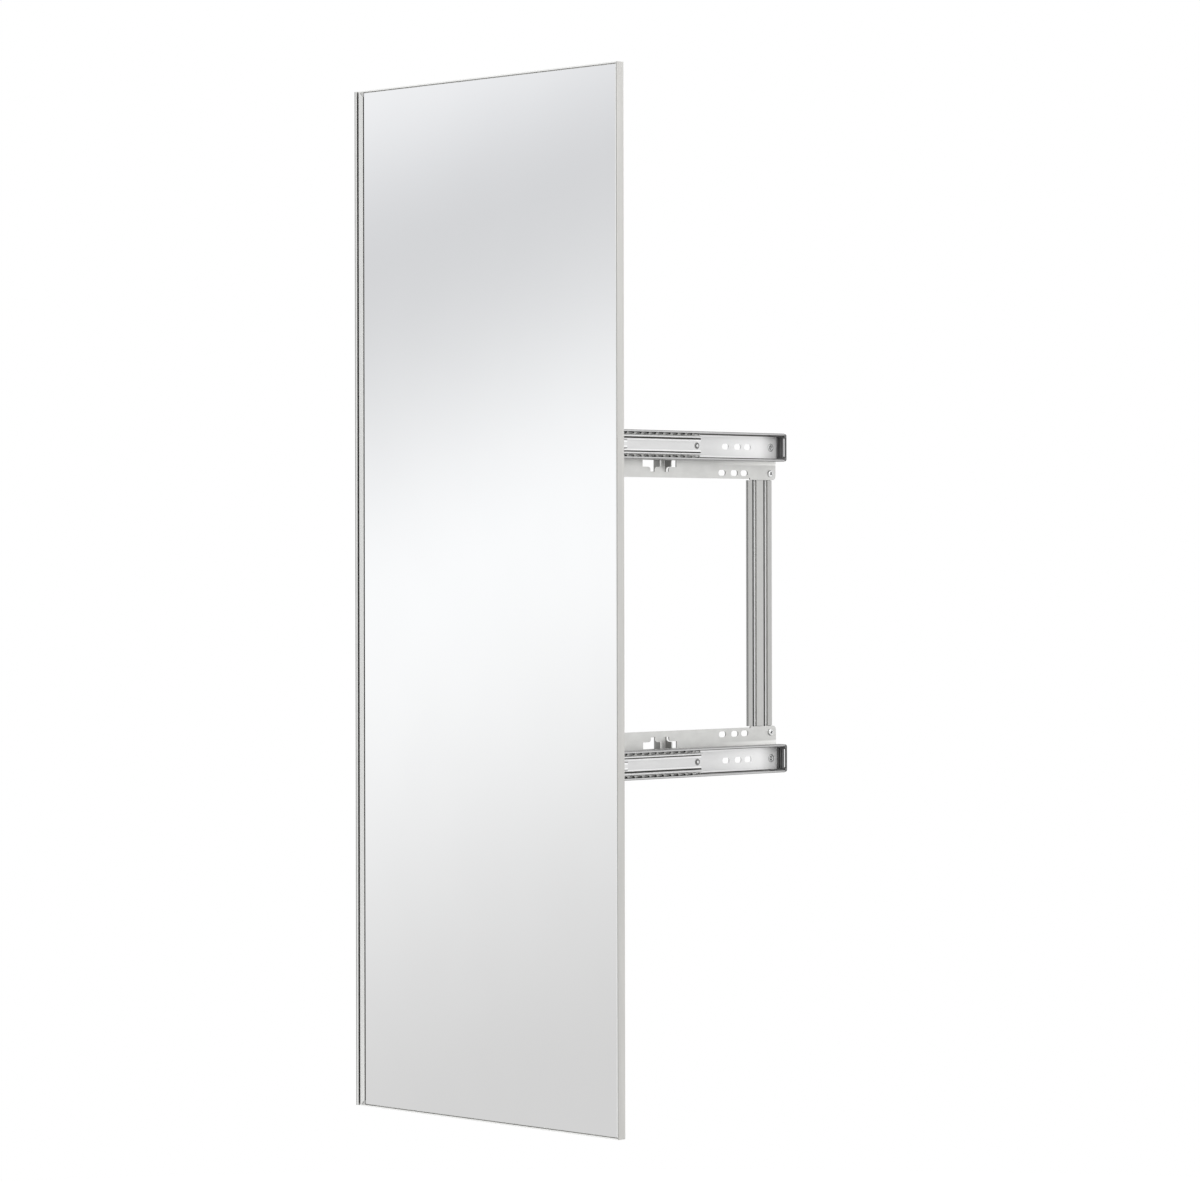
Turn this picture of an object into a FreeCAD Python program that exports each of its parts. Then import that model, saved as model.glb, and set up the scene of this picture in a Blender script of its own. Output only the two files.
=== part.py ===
"""Pull-out closet mirror on two telescopic ball slides.

Frame: X = 0 is the wardrobe's side panel and +X points into the wardrobe, -Y is the way the
mirror pulls out, +Z is up. The origin is the centre of the four mounting slots. The model stands
pulled out, with the mirror turned square to the slides.
"""

import FreeCAD, Part
import math
import os

V = FreeCAD.Vector

# ---- driving dimensions, millimetres and degrees ----

# mirror panel
mirror_width = 366.0
mirror_height = 1000.0
mirror_lift = 8.8
handle_overhang = 77.3
frame_wall = 1.3
frame_back_width = 13.0
frame_back_sheet = 1.2
glass_sheet = 4.0
glass_recess = 0.3
glass_arris = 0.8
glass_side_gap = 0.2
tape_sheet = 0.5
tape_width = 18.0
tape_rows = 4
tape_end_inset = 30.0
tape_key_gap = 2.0
board_sheet = 3.0

# handle profile along the free edge
handle_rim = 3.4
handle_groove = 2.6
handle_groove_depth = 6.0
handle_band = 6.3
handle_shadow_gap = 0.8
handle_back_width = 24.0
handle_cavity = 2.7
handle_cavity_skin = 1.4
handle_corner_cut = 4.5

# corner keys between the profiles
key_leg = 30.0
key_sheet = 2.8
key_width = 9.0
key_screw_pitch = 16.0
key_screw_r = 1.45
key_screw_head_r = 2.7
key_screw_head = 1.3

# telescopic slides
rail_spread = 361.6
stage_travel = 119.0
rail_end_gap = 0.5
outer_height = 30.0
outer_depth = 12.7
outer_sheet = 1.2
outer_lip = 2.1
outer_bend_r = 3.0
middle_height = 19.6
middle_sheet = 1.0
middle_lip = 1.8
middle_bend_r = 3.4
middle_slant = 6.2
inner_height = 10.8
inner_sheet = 1.2
inner_flange = 7.7
inner_bend_r = 1.6
lip_bend_r = 0.7
web_gap = 1.4
lip_step = 1.0
inner_proud = 0.5

# balls and cages
outer_ball_d = 3.6
inner_ball_d = 3.0
ball_pitch = 10.75
balls_per_row = 11
cage_sheet = 0.6
cage_ball_clearance = 0.1
cage_end_margin = 5.25
cage_rail_inset = 3.9
cage_flange_gap = 0.9
cage_tooth_root = 3.4
cage_tooth_tip = 0.7
cage_flange_band = 0.5
cage_arch_r = 2.6
cage_pocket_rim = 0.8
outer_cage_depth = 6.0
outer_cage_web_gap = 0.9
inner_cage_depth = 4.8
inner_cage_setback = 0.4

# mounting plates
plate_sheet = 1.5
plate_tray_depth = 1.5
plate_strip = 18.8
plate_corner_r = 4.5
plate_back_margin = 1.0
slot_width = 6.2
slot_length = 11.0
slot_row_inset = 6.1
slot_first_pitch = 18.8
slot_second_pitch = 15.3
slot_span = 176.0
slot_to_rail_end = 64.5
slot_to_rail_front = 9.5
rail_slot_offset = 4.0
rail_slot_relief = 1.0
notch_r = 1.3
notch_from_end = 41.5
notch_step = 0.8
window_height = 7.1
window_length = 16.0
window_foot_width = 4.5
window_foot_r = 3.2
ear_spacing = 16.6
ear_from_end = 186.7
ear_height = 9.2
ear_foot = 4.9
ear_foot_width = 1.6
ear_foot_r = 3.3
ear_tip_r = 0.8
ear_bend_r = 1.0
ear_rail_gap = 0.7

# rear upright between the plates
upright_width = 37.0
upright_depth = 3.0
upright_from_end = 6.5
upright_joint = 0.5
upright_tongue = 12.0
upright_tongue_inset = 6.0
upright_tongue_sheet = 1.4
upright_groove = 6.6
upright_groove_depth = 2.1
upright_groove_slope = 0.5
upright_slot = 2.4
upright_slot_depth = 0.4
upright_centre_flat = 10.6
screw_from_end = 9.5
upright_screw_r = 2.0
upright_screw_head_r = 3.5
upright_screw_head = 1.9

# rivets and the end buffers
rivet_r = 2.5
rivet_ring_r = 4.25
rivet_bore_r = 1.2
rivet_head = 0.4
rivet_tail = 0.8
rivet_flare = 0.7
rivet_front_inset = 12.0
middle_rivet_r = 2.0
middle_rivet_head_r = 3.6
middle_rivet_head = 0.8
middle_rivet_tail = 0.4
middle_rivet_inset = 5.6
buffer_plate = 3.2
buffer_edge_inset = 0.4
buffer_corner_r = 2.4
buffer_arm = 12.0
buffer_arm_sheet = 1.6
buffer_arm_gap = 0.2
buffer_window = 2.1
buffer_window_margin = 4.5
buffer_window_r = 0.8
buffer_bar = 2.0
buffer_bar_depth = 1.2
buffer_groove_depth = 1.6
buffer_wide_groove = 1.6
buffer_wide_groove_x = 3.8
buffer_fine_groove = 0.8
buffer_fine_groove_x = 7.4

# carriage
pivot_reach = 27.0
pivot_ahead = 35.5
pivot_to_panel = 21.0
tube_r = 8.0
tube_wall = 1.5
tube_gap_to_rails = 5.8
plug_length = 20.0
tube_screw_r = 3.0
tube_screw_head_r = 5.4
tube_screw_head = 3.6
tube_screw_length = 18.0
bracket_sheet = 2.0
bracket_overlap = 46.0
bracket_ear_ahead = 10.5
bracket_ear_behind = 19.5
bracket_ear_side = 10.5
bracket_edge_gap = 0.2
bracket_corner_r = 3.0
bracket_rivet_r = 2.0
bracket_rivet_head_r = 3.4
bracket_rivet_head = 1.2
bracket_rivet_tail = 0.8
bracket_rivet_inset = 10.0
bracket_rivet_pitch = 24.0

# swivel
swivel_height = 40.0
swivel_to_tube_end = 20.0
swivel_sleeve_r = 12.4
swivel_block_width = 20.0
swivel_block_flare = 6.0
swivel_base_width = 64.0
swivel_base_sheet = 3.5
swivel_base_r = 5.0
swivel_screw_pitch_x = 48.0
swivel_screw_pitch_z = 24.0
bush_running_gap = 0.25
bush_wall = 1.2
bush_length = 12.0
bush_flange = 1.0
bush_flange_r = 10.8
collar_height = 10.0
collar_r = 16.2
collar_chamfer = 0.6
collar_screw_r = 2.0
collar_screw_length = 6.0
collar_screw_grip = 1.1
stop_pin_r = 1.5
stop_pin_orbit = 13.0
stop_pin_reach = 4.0
stop_pin_seat = 12.0
stop_slot_clearance = 0.3
stop_slot_depth = 5.0
swivel_range = 90.0

# screws from the swivel brackets into the backing board
board_screw_r = 2.0
board_screw_head_r = 3.8
board_screw_head = 2.4
tee_nut_r = 2.8
tee_nut_flange_r = 6.0
tee_nut_flange = 0.7

# driver recesses, as shares of the head or shank they are cut in
recess_arm_share = 0.56
recess_width_share = 0.14
recess_depth_share = 0.5
socket_share = 0.7

# clearances and edge radii shared by the pieces
hole_clearance = 0.15
seat_clearance = 0.05
side_clearance = 0.3
end_clearance = 0.2
edge_r = 0.3
overcut = 1.0

# ---- places worked out from the driving dimensions ----

panel_depth = glass_recess + glass_sheet + tape_sheet + board_sheet + frame_back_sheet
rail_end_y = slot_span / 2 + slot_to_rail_end
rail_front_y = -slot_span / 2 - slot_to_rail_front
rail_length = rail_end_y - rail_front_y
plate_back_x = plate_tray_depth
plate_front_x = plate_back_x + plate_sheet
rail_z = (rail_spread - outer_height) / 2
rail_inner_edge_z = rail_z - outer_height / 2
strip_edge_z = rail_inner_edge_z - plate_strip
slot_row_z = strip_edge_z + slot_row_inset
screw_y = rail_end_y - screw_from_end
rail_rivet_ys = (rail_front_y + rivet_front_inset, screw_y)
front_slot_y = -slot_span / 2
rear_slot_ys = (slot_span / 2 - slot_first_pitch, slot_span / 2, slot_span / 2 + slot_second_pitch)
ear_ys = (rail_end_y - ear_from_end, rail_end_y - ear_from_end + ear_spacing)

outer_back_x = plate_front_x
outer_web_x = outer_back_x + outer_sheet
outer_front_x = outer_back_x + outer_depth
middle_back_x = outer_web_x + web_gap
middle_web_x = middle_back_x + middle_sheet
middle_front_x = outer_front_x - lip_step
inner_face_x = outer_front_x + inner_proud
inner_web_x = inner_face_x - inner_sheet
inner_edge_x = inner_face_x - inner_flange

moving_length = rail_length - 2 * rail_end_gap
middle_rear_y = rail_end_y - rail_end_gap - stage_travel
middle_front_y = middle_rear_y - moving_length
inner_rear_y = middle_rear_y - stage_travel
inner_front_y = inner_rear_y - moving_length

cage_length = (balls_per_row - 1) * ball_pitch + 2 * cage_end_margin
outer_cage_y = rail_front_y + cage_rail_inset
outer_cage_x = middle_back_x + outer_cage_web_gap
outer_ball_x = outer_cage_x + outer_cage_depth / 2
outer_ball_offset = (outer_height / 2 - outer_sheet + middle_height / 2) / 2
inner_cage_y = middle_front_y + cage_rail_inset
inner_cage_x = inner_edge_x - inner_cage_setback
inner_ball_x = inner_cage_x + inner_cage_depth / 2
inner_ball_offset = (middle_height / 2 - middle_sheet + inner_height / 2) / 2

pivot_x = pivot_reach
pivot_y = inner_front_y - pivot_ahead
panel_back_y = pivot_y - pivot_to_panel
panel_front_y = panel_back_y - panel_depth
panel_left_x = pivot_x - handle_overhang
panel_right_x = panel_left_x + mirror_width
panel_low_z = mirror_lift - mirror_height / 2
panel_high_z = mirror_lift + mirror_height / 2
glass_front_y = panel_front_y + glass_recess
tape_front_y = glass_front_y + glass_sheet
board_front_y = tape_front_y + tape_sheet
board_back_y = board_front_y + board_sheet
rim_x = panel_left_x + handle_rim
band_x = rim_x + handle_groove
band_end_x = band_x + handle_band
handle_back_x = panel_left_x + handle_back_width
glass_left_x = band_end_x + handle_shadow_gap
glass_right_x = panel_right_x - frame_wall - glass_side_gap
glass_low_z = panel_low_z + frame_wall + glass_side_gap
glass_high_z = panel_high_z - frame_wall - glass_side_gap

tube_half = rail_inner_edge_z - tube_gap_to_rails
swivel_centre_z = tube_half - swivel_to_tube_end - swivel_height / 2
tube_bore_r = tube_r - tube_wall
bush_bore_r = tube_r + bush_running_gap
bush_r = bush_bore_r + bush_wall
bracket_rivet_ys = (inner_front_y + bracket_rivet_inset, inner_front_y + bracket_rivet_inset + bracket_rivet_pitch)
collar_zs = tuple(side * swivel_centre_z - swivel_height / 2 - bush_flange - side_clearance - collar_height
                  for side in (1, -1))
swivel_zs = (swivel_centre_z, -swivel_centre_z)
frame_ends = ((panel_low_z, 1), (panel_high_z, -1))


# ---- shape helpers ----

PLACES = {
    "x": lambda a, b, c: V(c, a, b),
    "y": lambda a, b, c: V(a, c, b),
    "z": lambda a, b, c: V(a, b, c),
}
LEVELS = {
    "x": lambda p: p.x,
    "y": lambda p: p.y,
    "z": lambda p: p.z,
}


def rounded_wire(corners, place, level):
    """Closed wire through corners (a, b, radius) in the plane across an axis, at a level on it."""
    stops = []
    count = len(corners)
    for i, (a, b, radius) in enumerate(corners):
        point = V(a, b, 0)
        if radius == 0:
            stops.append((point, None, point))
            continue
        before = V(*corners[i - 1][:2], 0) - point
        after = V(*corners[(i + 1) % count][:2], 0) - point
        before.normalize()
        after.normalize()
        half = before.getAngle(after) / 2
        trim = radius / math.tan(half)
        inward = before + after
        inward.normalize()
        middle = point + inward * (radius / math.sin(half) - radius)
        stops.append((point + before * trim, middle, point + after * trim))
    edges = []
    for i, (start, middle, end) in enumerate(stops):
        if middle is not None:
            three = [place(p.x, p.y, level) for p in (start, middle, end)]
            edges.append(Part.Arc(*three).toShape())
        following = stops[(i + 1) % count][0]
        if (following - end).Length > 1e-6:
            line = [place(p.x, p.y, level) for p in (end, following)]
            edges.append(Part.LineSegment(*line).toShape())
    return Part.Wire(edges)


def prism(axis, corners, low, high):
    """Solid with the outline of the corners, from low to high along the axis.

    Corners are (y, z, r) across x, (x, z, r) across y and (x, y, r) across z."""
    place = PLACES[axis]
    face = Part.Face(rounded_wire(corners, place, low))
    return face.extrude(place(0, 0, high - low))


def box(x, y, z):
    """Box between pairs of x, y and z, given in either order."""
    (x0, x1), (y0, y1), (z0, z1) = sorted(x), sorted(y), sorted(z)
    return Part.makeBox(x1 - x0, y1 - y0, z1 - z0, V(x0, y0, z0))


def rod(axis, a, b, low, high, radius):
    """Cylinder along an axis, centred at (a, b) across it as in prism."""
    place = PLACES[axis]
    return Part.makeCylinder(radius, high - low, place(a, b, low), place(0, 0, 1))


def rectangle(a_low, a_high, b_low, b_high, radius=0.0):
    """Corners of a rectangle, all rounded to one radius."""
    return [(a_low, b_low, radius), (a_high, b_low, radius), (a_high, b_high, radius), (a_low, b_high, radius)]


def slot(a, b, low, high, length, width):
    """Round-ended slot through a sheet that faces X, long in Y."""
    corners = rectangle(a - length / 2, a + length / 2, b - width / 2, b + width / 2, width / 2)
    return prism("x", corners, low, high)


def joined(shapes):
    """One solid out of touching shapes."""
    result = shapes[0]
    for shape in shapes[1:]:
        result = result.fuse(shape)
    return result.removeSplitter()


def cut(shape, tools):
    """The shape without the tools."""
    for tool in tools:
        shape = shape.cut(tool)
    return shape


def group(shapes):
    """Separate solids of one node."""
    return Part.makeCompound(shapes)


def flipped(shape):
    """The shape mirrored top to bottom, for the lower slide."""
    return shape.mirror(V(0, 0, 0), V(0, 0, 1))


def domed(axis, a, b, low, high, radius):
    """Low cylindrical head with its far edge rounded."""
    head = rod(axis, a, b, low, high, radius)
    crown = [edge for edge in head.Edges if abs(LEVELS[axis](edge.CenterOfMass) - high) < 1e-6]
    return head.makeFillet((high - low) * 0.55, crown)


def hexagon(a, b, radius):
    """Corners of a hexagon socket."""
    return [(a + radius * math.cos(math.pi * i / 3), b + radius * math.sin(math.pi * i / 3), 0) for i in range(6)]


def pan_screw(axis, a, b, seat, head_r, head, shank_r, length):
    """Pan-head screw with a cross recess, with its head on the far side of the seat."""
    shape = joined([domed(axis, a, b, seat, seat + head, head_r), rod(axis, a, b, seat - length, seat, shank_r)])
    arm = head_r * recess_arm_share
    half = head_r * recess_width_share
    floor = seat + head * (1 - recess_depth_share)
    recess = [prism(axis, rectangle(a - wide, a + wide, b - high, b + high), floor, seat + head)
              for wide, high in ((arm, half), (half, arm))]
    return cut(shape, recess)


# ---- mounting plates and upright ----


def mounting_plate():
    """Upper plate: a sheet behind the slide with an exposed strip below it, folded back along its
    top and front edges so that it stands on the side panel, and with two ears bent out of it."""
    top_z = rail_z + outer_height / 2 - plate_back_margin
    notch_y = rail_end_y - notch_from_end
    low_z = strip_edge_z - notch_step
    outline = [
        (rail_front_y, strip_edge_z, plate_corner_r),
        (notch_y, strip_edge_z, 0),
        (notch_y, low_z, 0),
        (rail_end_y - rail_end_gap, low_z, plate_corner_r),
        (rail_end_y - rail_end_gap, top_z, overcut),
        (rail_front_y, top_z, overcut),
    ]
    sheet = prism("x", outline, plate_back_x, plate_front_x)
    top_fold = box((0, plate_back_x), (rail_front_y + plate_corner_r, rail_end_y - plate_corner_r),
                   (top_z - plate_sheet, top_z))
    front_fold = box((0, plate_back_x), (rail_front_y, rail_front_y + plate_sheet),
                     (strip_edge_z + plate_corner_r, top_z - plate_corner_r))
    tools = [window(ear_ys[0], -1), window(ear_ys[1] + plate_sheet, 1)]
    tools.append(rod("x", notch_y, strip_edge_z, 0, plate_front_x, notch_r))
    for y in rear_slot_ys:
        tools.append(slot(y + rail_slot_offset, rail_z, 0, plate_front_x, slot_length + 2 * rail_slot_relief,
                          slot_width + 2 * rail_slot_relief))
    for y in rear_slot_ys + (front_slot_y,):
        tools.append(slot(y, slot_row_z, 0, plate_front_x, slot_length, slot_width))
    for y in rail_rivet_ys:
        tools.append(rod("x", y, rail_z, 0, plate_front_x, rivet_r + seat_clearance))
    tools.append(rod("x", screw_y, slot_row_z, 0, plate_front_x, upright_screw_r + hole_clearance))
    plate = cut(joined([sheet, top_fold, front_fold]), tools)
    plate = joined([plate, ear(ear_ys[0]), ear(ear_ys[1])])
    insides, outsides = zip(bend(ear_ys[0], 1), bend(ear_ys[1] + plate_sheet, -1))
    return cut(joined([plate, *insides]), outsides)


def ear_levels():
    """Top, low edge and foot of the ears and of the windows they leave."""
    top = rail_inner_edge_z - ear_rail_gap
    return top, top - window_height, top - window_height - ear_foot


def window(fold_y, direction):
    """Opening in the plate beside an ear, deeper next to the fold."""
    top, low, foot = ear_levels()
    foot_y = fold_y + direction * window_foot_width
    end_y = fold_y + direction * window_length
    corners = [
        (fold_y, foot, 0),
        (foot_y, foot, edge_r),
        (foot_y, low, window_foot_r),
        (end_y, low, edge_r),
        (end_y, top, edge_r),
        (fold_y, top, 0),
    ]
    return prism("x", corners, 0, plate_front_x)


def ear(fold_y):
    """Ear bent out from the plate, with a wider foot than its tip."""
    top, low, foot = ear_levels()
    foot_x = plate_front_x + ear_foot_width
    tip_x = plate_front_x + ear_height
    corners = [
        (plate_back_x, foot, 0),
        (foot_x, foot, 0),
        (foot_x, low, ear_foot_r),
        (tip_x, low, ear_tip_r),
        (tip_x, top, ear_tip_r),
        (plate_back_x, top, 0),
    ]
    return prism("y", corners, fold_y, fold_y + plate_sheet)


def bend(window_y, direction):
    """Round of the fold between an ear and the plate, whose centre lies in the direction away from
    the window at window_y: the web to add on the inside and the corner to cut off the outside."""
    top, _, foot = ear_levels()
    outside_r = ear_bend_r + plate_sheet
    centre_x = plate_back_x + outside_r
    centre_y = window_y + direction * outside_r
    shapes = []
    for radius in (ear_bend_r, outside_r):
        corner = box((centre_x - radius, centre_x), (centre_y - direction * radius, centre_y), (foot, top))
        shapes.append(corner.cut(rod("z", centre_x, centre_y, foot, top, radius)))
    return shapes


def rear_upright():
    """Extrusion between the plates, with two grooves in its face and a narrow slot along the
    floor of each. Its ends are cut back to a thin tongue behind each plate, which the plate's
    screw goes into."""
    rear = rail_end_y - upright_from_end
    near = rear - upright_width
    centre = (near + rear) / 2
    face_half = strip_edge_z - notch_step - upright_joint
    tongue_half = face_half + upright_joint + upright_tongue
    floor_x = upright_depth - upright_groove_depth
    slot_x = floor_x - upright_slot_depth
    slot_margin = (upright_groove - upright_slot) / 2
    section = [(0, near, edge_r), (upright_depth, near, edge_r)]
    for side in (-1, 1):
        groove_near = centre - upright_centre_flat / 2 - upright_groove
        if side == 1:
            groove_near = centre + upright_centre_flat / 2
        groove_far = groove_near + upright_groove
        section += [
            (upright_depth, groove_near, 0),
            (floor_x, groove_near, 0),
            (floor_x, groove_near + slot_margin, 0),
            (slot_x, groove_near + slot_margin, 0),
            (slot_x, groove_far - slot_margin, 0),
            (floor_x, groove_far - slot_margin, 0),
            (floor_x, groove_far - upright_groove_slope, 0),
            (upright_depth, groove_far, 0),
        ]
    section += [(upright_depth, rear, edge_r), (0, rear, edge_r)]
    bar = prism("z", section, -tongue_half, tongue_half)
    tools = []
    for side in (1, -1):
        end_zs = (side * face_half, side * tongue_half)
        tools.append(box((upright_tongue_sheet, upright_depth), (near, rear), end_zs))
        tools.append(box((0, upright_depth), (near, near + upright_tongue_inset), end_zs))
        tools.append(rod("x", screw_y, side * slot_row_z, 0, upright_depth, upright_screw_r + seat_clearance))
    return cut(bar, tools)


def upright_screws():
    length = plate_front_x - end_clearance
    return group([pan_screw("x", screw_y, z, plate_front_x, upright_screw_head_r, upright_screw_head,
                            upright_screw_r, length) for z in (slot_row_z, -slot_row_z)])


# ---- telescopic slides ----


def channel(back_x, front_x, height, sheet, lip, bend_r, near_y, far_y):
    """Channel along Y at the upper slide, with its web at back_x and open towards front_x. The
    flanges end in lips turned towards each other, unless the lip is 0."""
    direction = 1 if front_x > back_x else -1
    half = height / 2
    web = back_x + direction * sheet
    if lip:
        lip_back = front_x - direction * sheet
        upper = [
            (front_x, half, lip_bend_r),
            (front_x, half - lip, edge_r),
            (lip_back, half - lip, edge_r),
            (lip_back, half - sheet, 0),
        ]
    else:
        upper = [(front_x, half, edge_r), (front_x, half - sheet, edge_r)]
    lower = [(x, -z, r) for x, z, r in reversed(upper)]
    corners = [(back_x, half, bend_r)] + upper
    corners += [(web, half - sheet, bend_r - sheet), (web, sheet - half, bend_r - sheet)]
    corners += lower + [(back_x, -half, bend_r)]
    return prism("y", [(x, z + rail_z, r) for x, z, r in corners], near_y, far_y)


def outer_rail():
    """Rail that stays on the plate, with three slots near its rear end."""
    rail = channel(outer_back_x, outer_front_x, outer_height, outer_sheet, outer_lip, outer_bend_r,
                   rail_front_y, rail_end_y)
    tools = [slot(y + rail_slot_offset, rail_z, outer_back_x, outer_web_x, slot_length, slot_width)
             for y in rear_slot_ys]
    tools += [rod("x", y, rail_z, outer_back_x, outer_web_x, rivet_r + seat_clearance) for y in rail_rivet_ys]
    return cut(rail, tools)


def rail_rivets():
    """Tubular rivets through rail and plate, each with a thin ring head inside the rail."""
    rivets = []
    tail_x = plate_back_x - rivet_tail
    head_x = outer_web_x + rivet_head
    for y in rail_rivet_ys:
        shank = rod("x", y, rail_z, tail_x, outer_web_x, rivet_r)
        ring = rod("x", y, rail_z, outer_web_x, head_x, rivet_ring_r)
        tail = rod("x", y, rail_z, tail_x, plate_back_x, rivet_r + rivet_flare)
        rivets.append(joined([shank, ring, tail]).cut(rod("x", y, rail_z, tail_x, head_x, rivet_bore_r)))
    return group(rivets + [flipped(rivet) for rivet in rivets])


def end_buffer():
    """Moulded stop that closes the rear end of the outer rail, with two arms inside its flanges
    and a narrow window along its open side."""
    half = outer_height / 2 - buffer_edge_inset
    rear_y = rail_end_y + buffer_plate
    plate = prism("y", rectangle(outer_back_x, outer_front_x, rail_z - half, rail_z + half, buffer_corner_r),
                  rail_end_y, rear_y)
    arm_x = (outer_web_x + outer_bend_r - outer_sheet, outer_front_x - outer_sheet - buffer_arm_gap)
    arm_z = outer_height / 2 - outer_sheet - buffer_arm_gap
    arms = [box(arm_x, (rail_end_y - buffer_arm, rail_end_y),
                (rail_z + side * arm_z, rail_z + side * (arm_z - buffer_arm_sheet))) for side in (1, -1)]
    open_half = outer_height / 2 - buffer_window_margin
    open_z = (rail_z - open_half, rail_z + open_half)
    bar_x = outer_front_x - buffer_bar
    tools = [prism("y", rectangle(bar_x - buffer_window, bar_x, *open_z, buffer_window_r), rail_end_y, rear_y)]
    tools.append(box((bar_x, outer_front_x), (rail_end_y, rear_y - buffer_bar_depth), open_z))
    for offset, width in ((buffer_wide_groove_x, buffer_wide_groove), (buffer_fine_groove_x, buffer_fine_groove)):
        groove_x = outer_back_x + offset
        tools.append(box((groove_x, groove_x + width), (rail_end_y, rail_end_y + buffer_groove_depth), open_z))
    return cut(joined([plate] + arms), tools)


def middle_rail():
    """Rail between the two ball rows, with its flanges cut back at a slant at the rear."""
    rail = channel(middle_back_x, middle_front_x, middle_height, middle_sheet, middle_lip, middle_bend_r,
                   middle_front_y, middle_rear_y)
    past_slant = [
        (middle_web_x, middle_rear_y, 0),
        (middle_front_x, middle_rear_y, 0),
        (middle_front_x, middle_rear_y - middle_slant, 0),
    ]
    slant = prism("z", past_slant, rail_z - middle_height / 2, rail_z + middle_height / 2)
    rivet_hole = rod("x", middle_rear_y - middle_rivet_inset, rail_z, middle_back_x, middle_web_x,
                     middle_rivet_r + seat_clearance)
    return cut(rail, [slant, rivet_hole])


def middle_rivets():
    """Stop rivet near the rear end of each middle rail."""
    y = middle_rear_y - middle_rivet_inset
    shank = rod("x", y, rail_z, middle_back_x - middle_rivet_tail, middle_web_x, middle_rivet_r)
    head = domed("x", y, rail_z, middle_web_x, middle_web_x + middle_rivet_head, middle_rivet_head_r)
    rivet = joined([shank, head])
    return group([rivet, flipped(rivet)])


def inner_rail():
    """Rail that carries the mirror, turned round so that its web faces outwards."""
    rail = channel(inner_face_x, inner_edge_x, inner_height, inner_sheet, 0, inner_bend_r,
                   inner_front_y, inner_rear_y)
    holes = [rod("x", y, rail_z, inner_web_x, inner_face_x, bracket_rivet_r + seat_clearance)
             for y in bracket_rivet_ys]
    return cut(rail, holes)


def ball_ys(cage_y):
    """Y of each ball of a cage that starts at the given Y."""
    return [cage_y + cage_end_margin + i * ball_pitch for i in range(balls_per_row)]


def balls(cage_y, x, offset, diameter):
    """Two rows of balls at the upper slide, above and below the smaller rail."""
    return group([Part.makeSphere(diameter / 2, V(x, y, rail_z + side * offset))
                  for side in (1, -1) for y in ball_ys(cage_y)])


def cage_strip(cage_y, x_pair, ball_x, z, diameter):
    """Flat strip with a hole for each ball."""
    low = z - cage_sheet / 2
    high = z + cage_sheet / 2
    strip = box(x_pair, (cage_y, cage_y + cage_length), (low, high))
    return cut(strip, [rod("z", ball_x, y, low, high, diameter / 2 + cage_ball_clearance) for y in ball_ys(cage_y)])


def outer_cages():
    """Cage strips of the outer ball rows, each with a flange that faces outwards and is cut into
    teeth by an arch in front of every ball."""
    strips = []
    flange_x = outer_front_x - outer_sheet - cage_flange_gap
    flange_back_x = flange_x - cage_sheet
    flange_out = outer_height / 2 - outer_sheet - side_clearance
    flange_in = middle_height / 2 + side_clearance
    arch_back_x = outer_ball_x + outer_ball_d / 2 + cage_ball_clearance + cage_pocket_rim
    root_half = (ball_pitch - cage_tooth_root) / 2
    tip_half = (ball_pitch - cage_tooth_tip) / 2
    for side in (1, -1):
        strip = cage_strip(outer_cage_y, (outer_cage_x, flange_back_x), outer_ball_x,
                           rail_z + side * outer_ball_offset, outer_ball_d)
        flange = box((flange_back_x, flange_x), (outer_cage_y, outer_cage_y + cage_length),
                     (rail_z + side * flange_in, rail_z + side * flange_out))
        root_z = rail_z + side * (flange_in + cage_flange_band)
        tip_z = rail_z + side * flange_out
        arches = []
        for y in ball_ys(outer_cage_y):
            corners = [
                (y - root_half, root_z, cage_arch_r),
                (y + root_half, root_z, cage_arch_r),
                (y + tip_half, tip_z, 0),
                (y - tip_half, tip_z, 0),
            ]
            arches.append(prism("x", corners, arch_back_x, flange_x))
        strips.append(cut(joined([strip, flange]), arches))
    return group(strips)


def inner_cages():
    return group([cage_strip(inner_cage_y, (inner_cage_x, inner_cage_x + inner_cage_depth), inner_ball_x,
                             rail_z + side * inner_ball_offset, inner_ball_d) for side in (1, -1)])


# ---- carriage ----


def pivot_bracket():
    """Angle bracket: a leg riveted on the inner rail and run down ahead of it, and an ear turned
    out across the end of the pivot tube."""
    leg_x = (inner_face_x, inner_face_x + bracket_sheet)
    front_y = pivot_y - bracket_ear_ahead
    ear_end_y = pivot_y + bracket_ear_behind
    leg_end_y = inner_front_y + bracket_overlap
    leg_half = inner_height / 2 - bracket_edge_gap
    outline = [
        (front_y, tube_half, 0),
        (ear_end_y, tube_half, 0),
        (ear_end_y, rail_z - leg_half, bracket_corner_r),
        (leg_end_y, rail_z - leg_half, bracket_corner_r),
        (leg_end_y, rail_z + leg_half, bracket_corner_r),
        (front_y, rail_z + leg_half, bracket_corner_r),
    ]
    leg = prism("x", outline, *leg_x)
    ear_outline = [
        (leg_x[0], front_y, 0),
        (pivot_x + bracket_ear_side, front_y, bracket_corner_r),
        (pivot_x + bracket_ear_side, ear_end_y, bracket_corner_r),
        (leg_x[0], ear_end_y, 0),
    ]
    ear_plate = prism("z", ear_outline, tube_half, tube_half + bracket_sheet)
    holes = [rod("z", pivot_x, pivot_y, tube_half, tube_half + bracket_sheet, tube_screw_r + hole_clearance)]
    holes += [rod("x", y, rail_z, *leg_x, bracket_rivet_r + seat_clearance) for y in bracket_rivet_ys]
    return cut(joined([leg, ear_plate]), holes)


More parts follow.
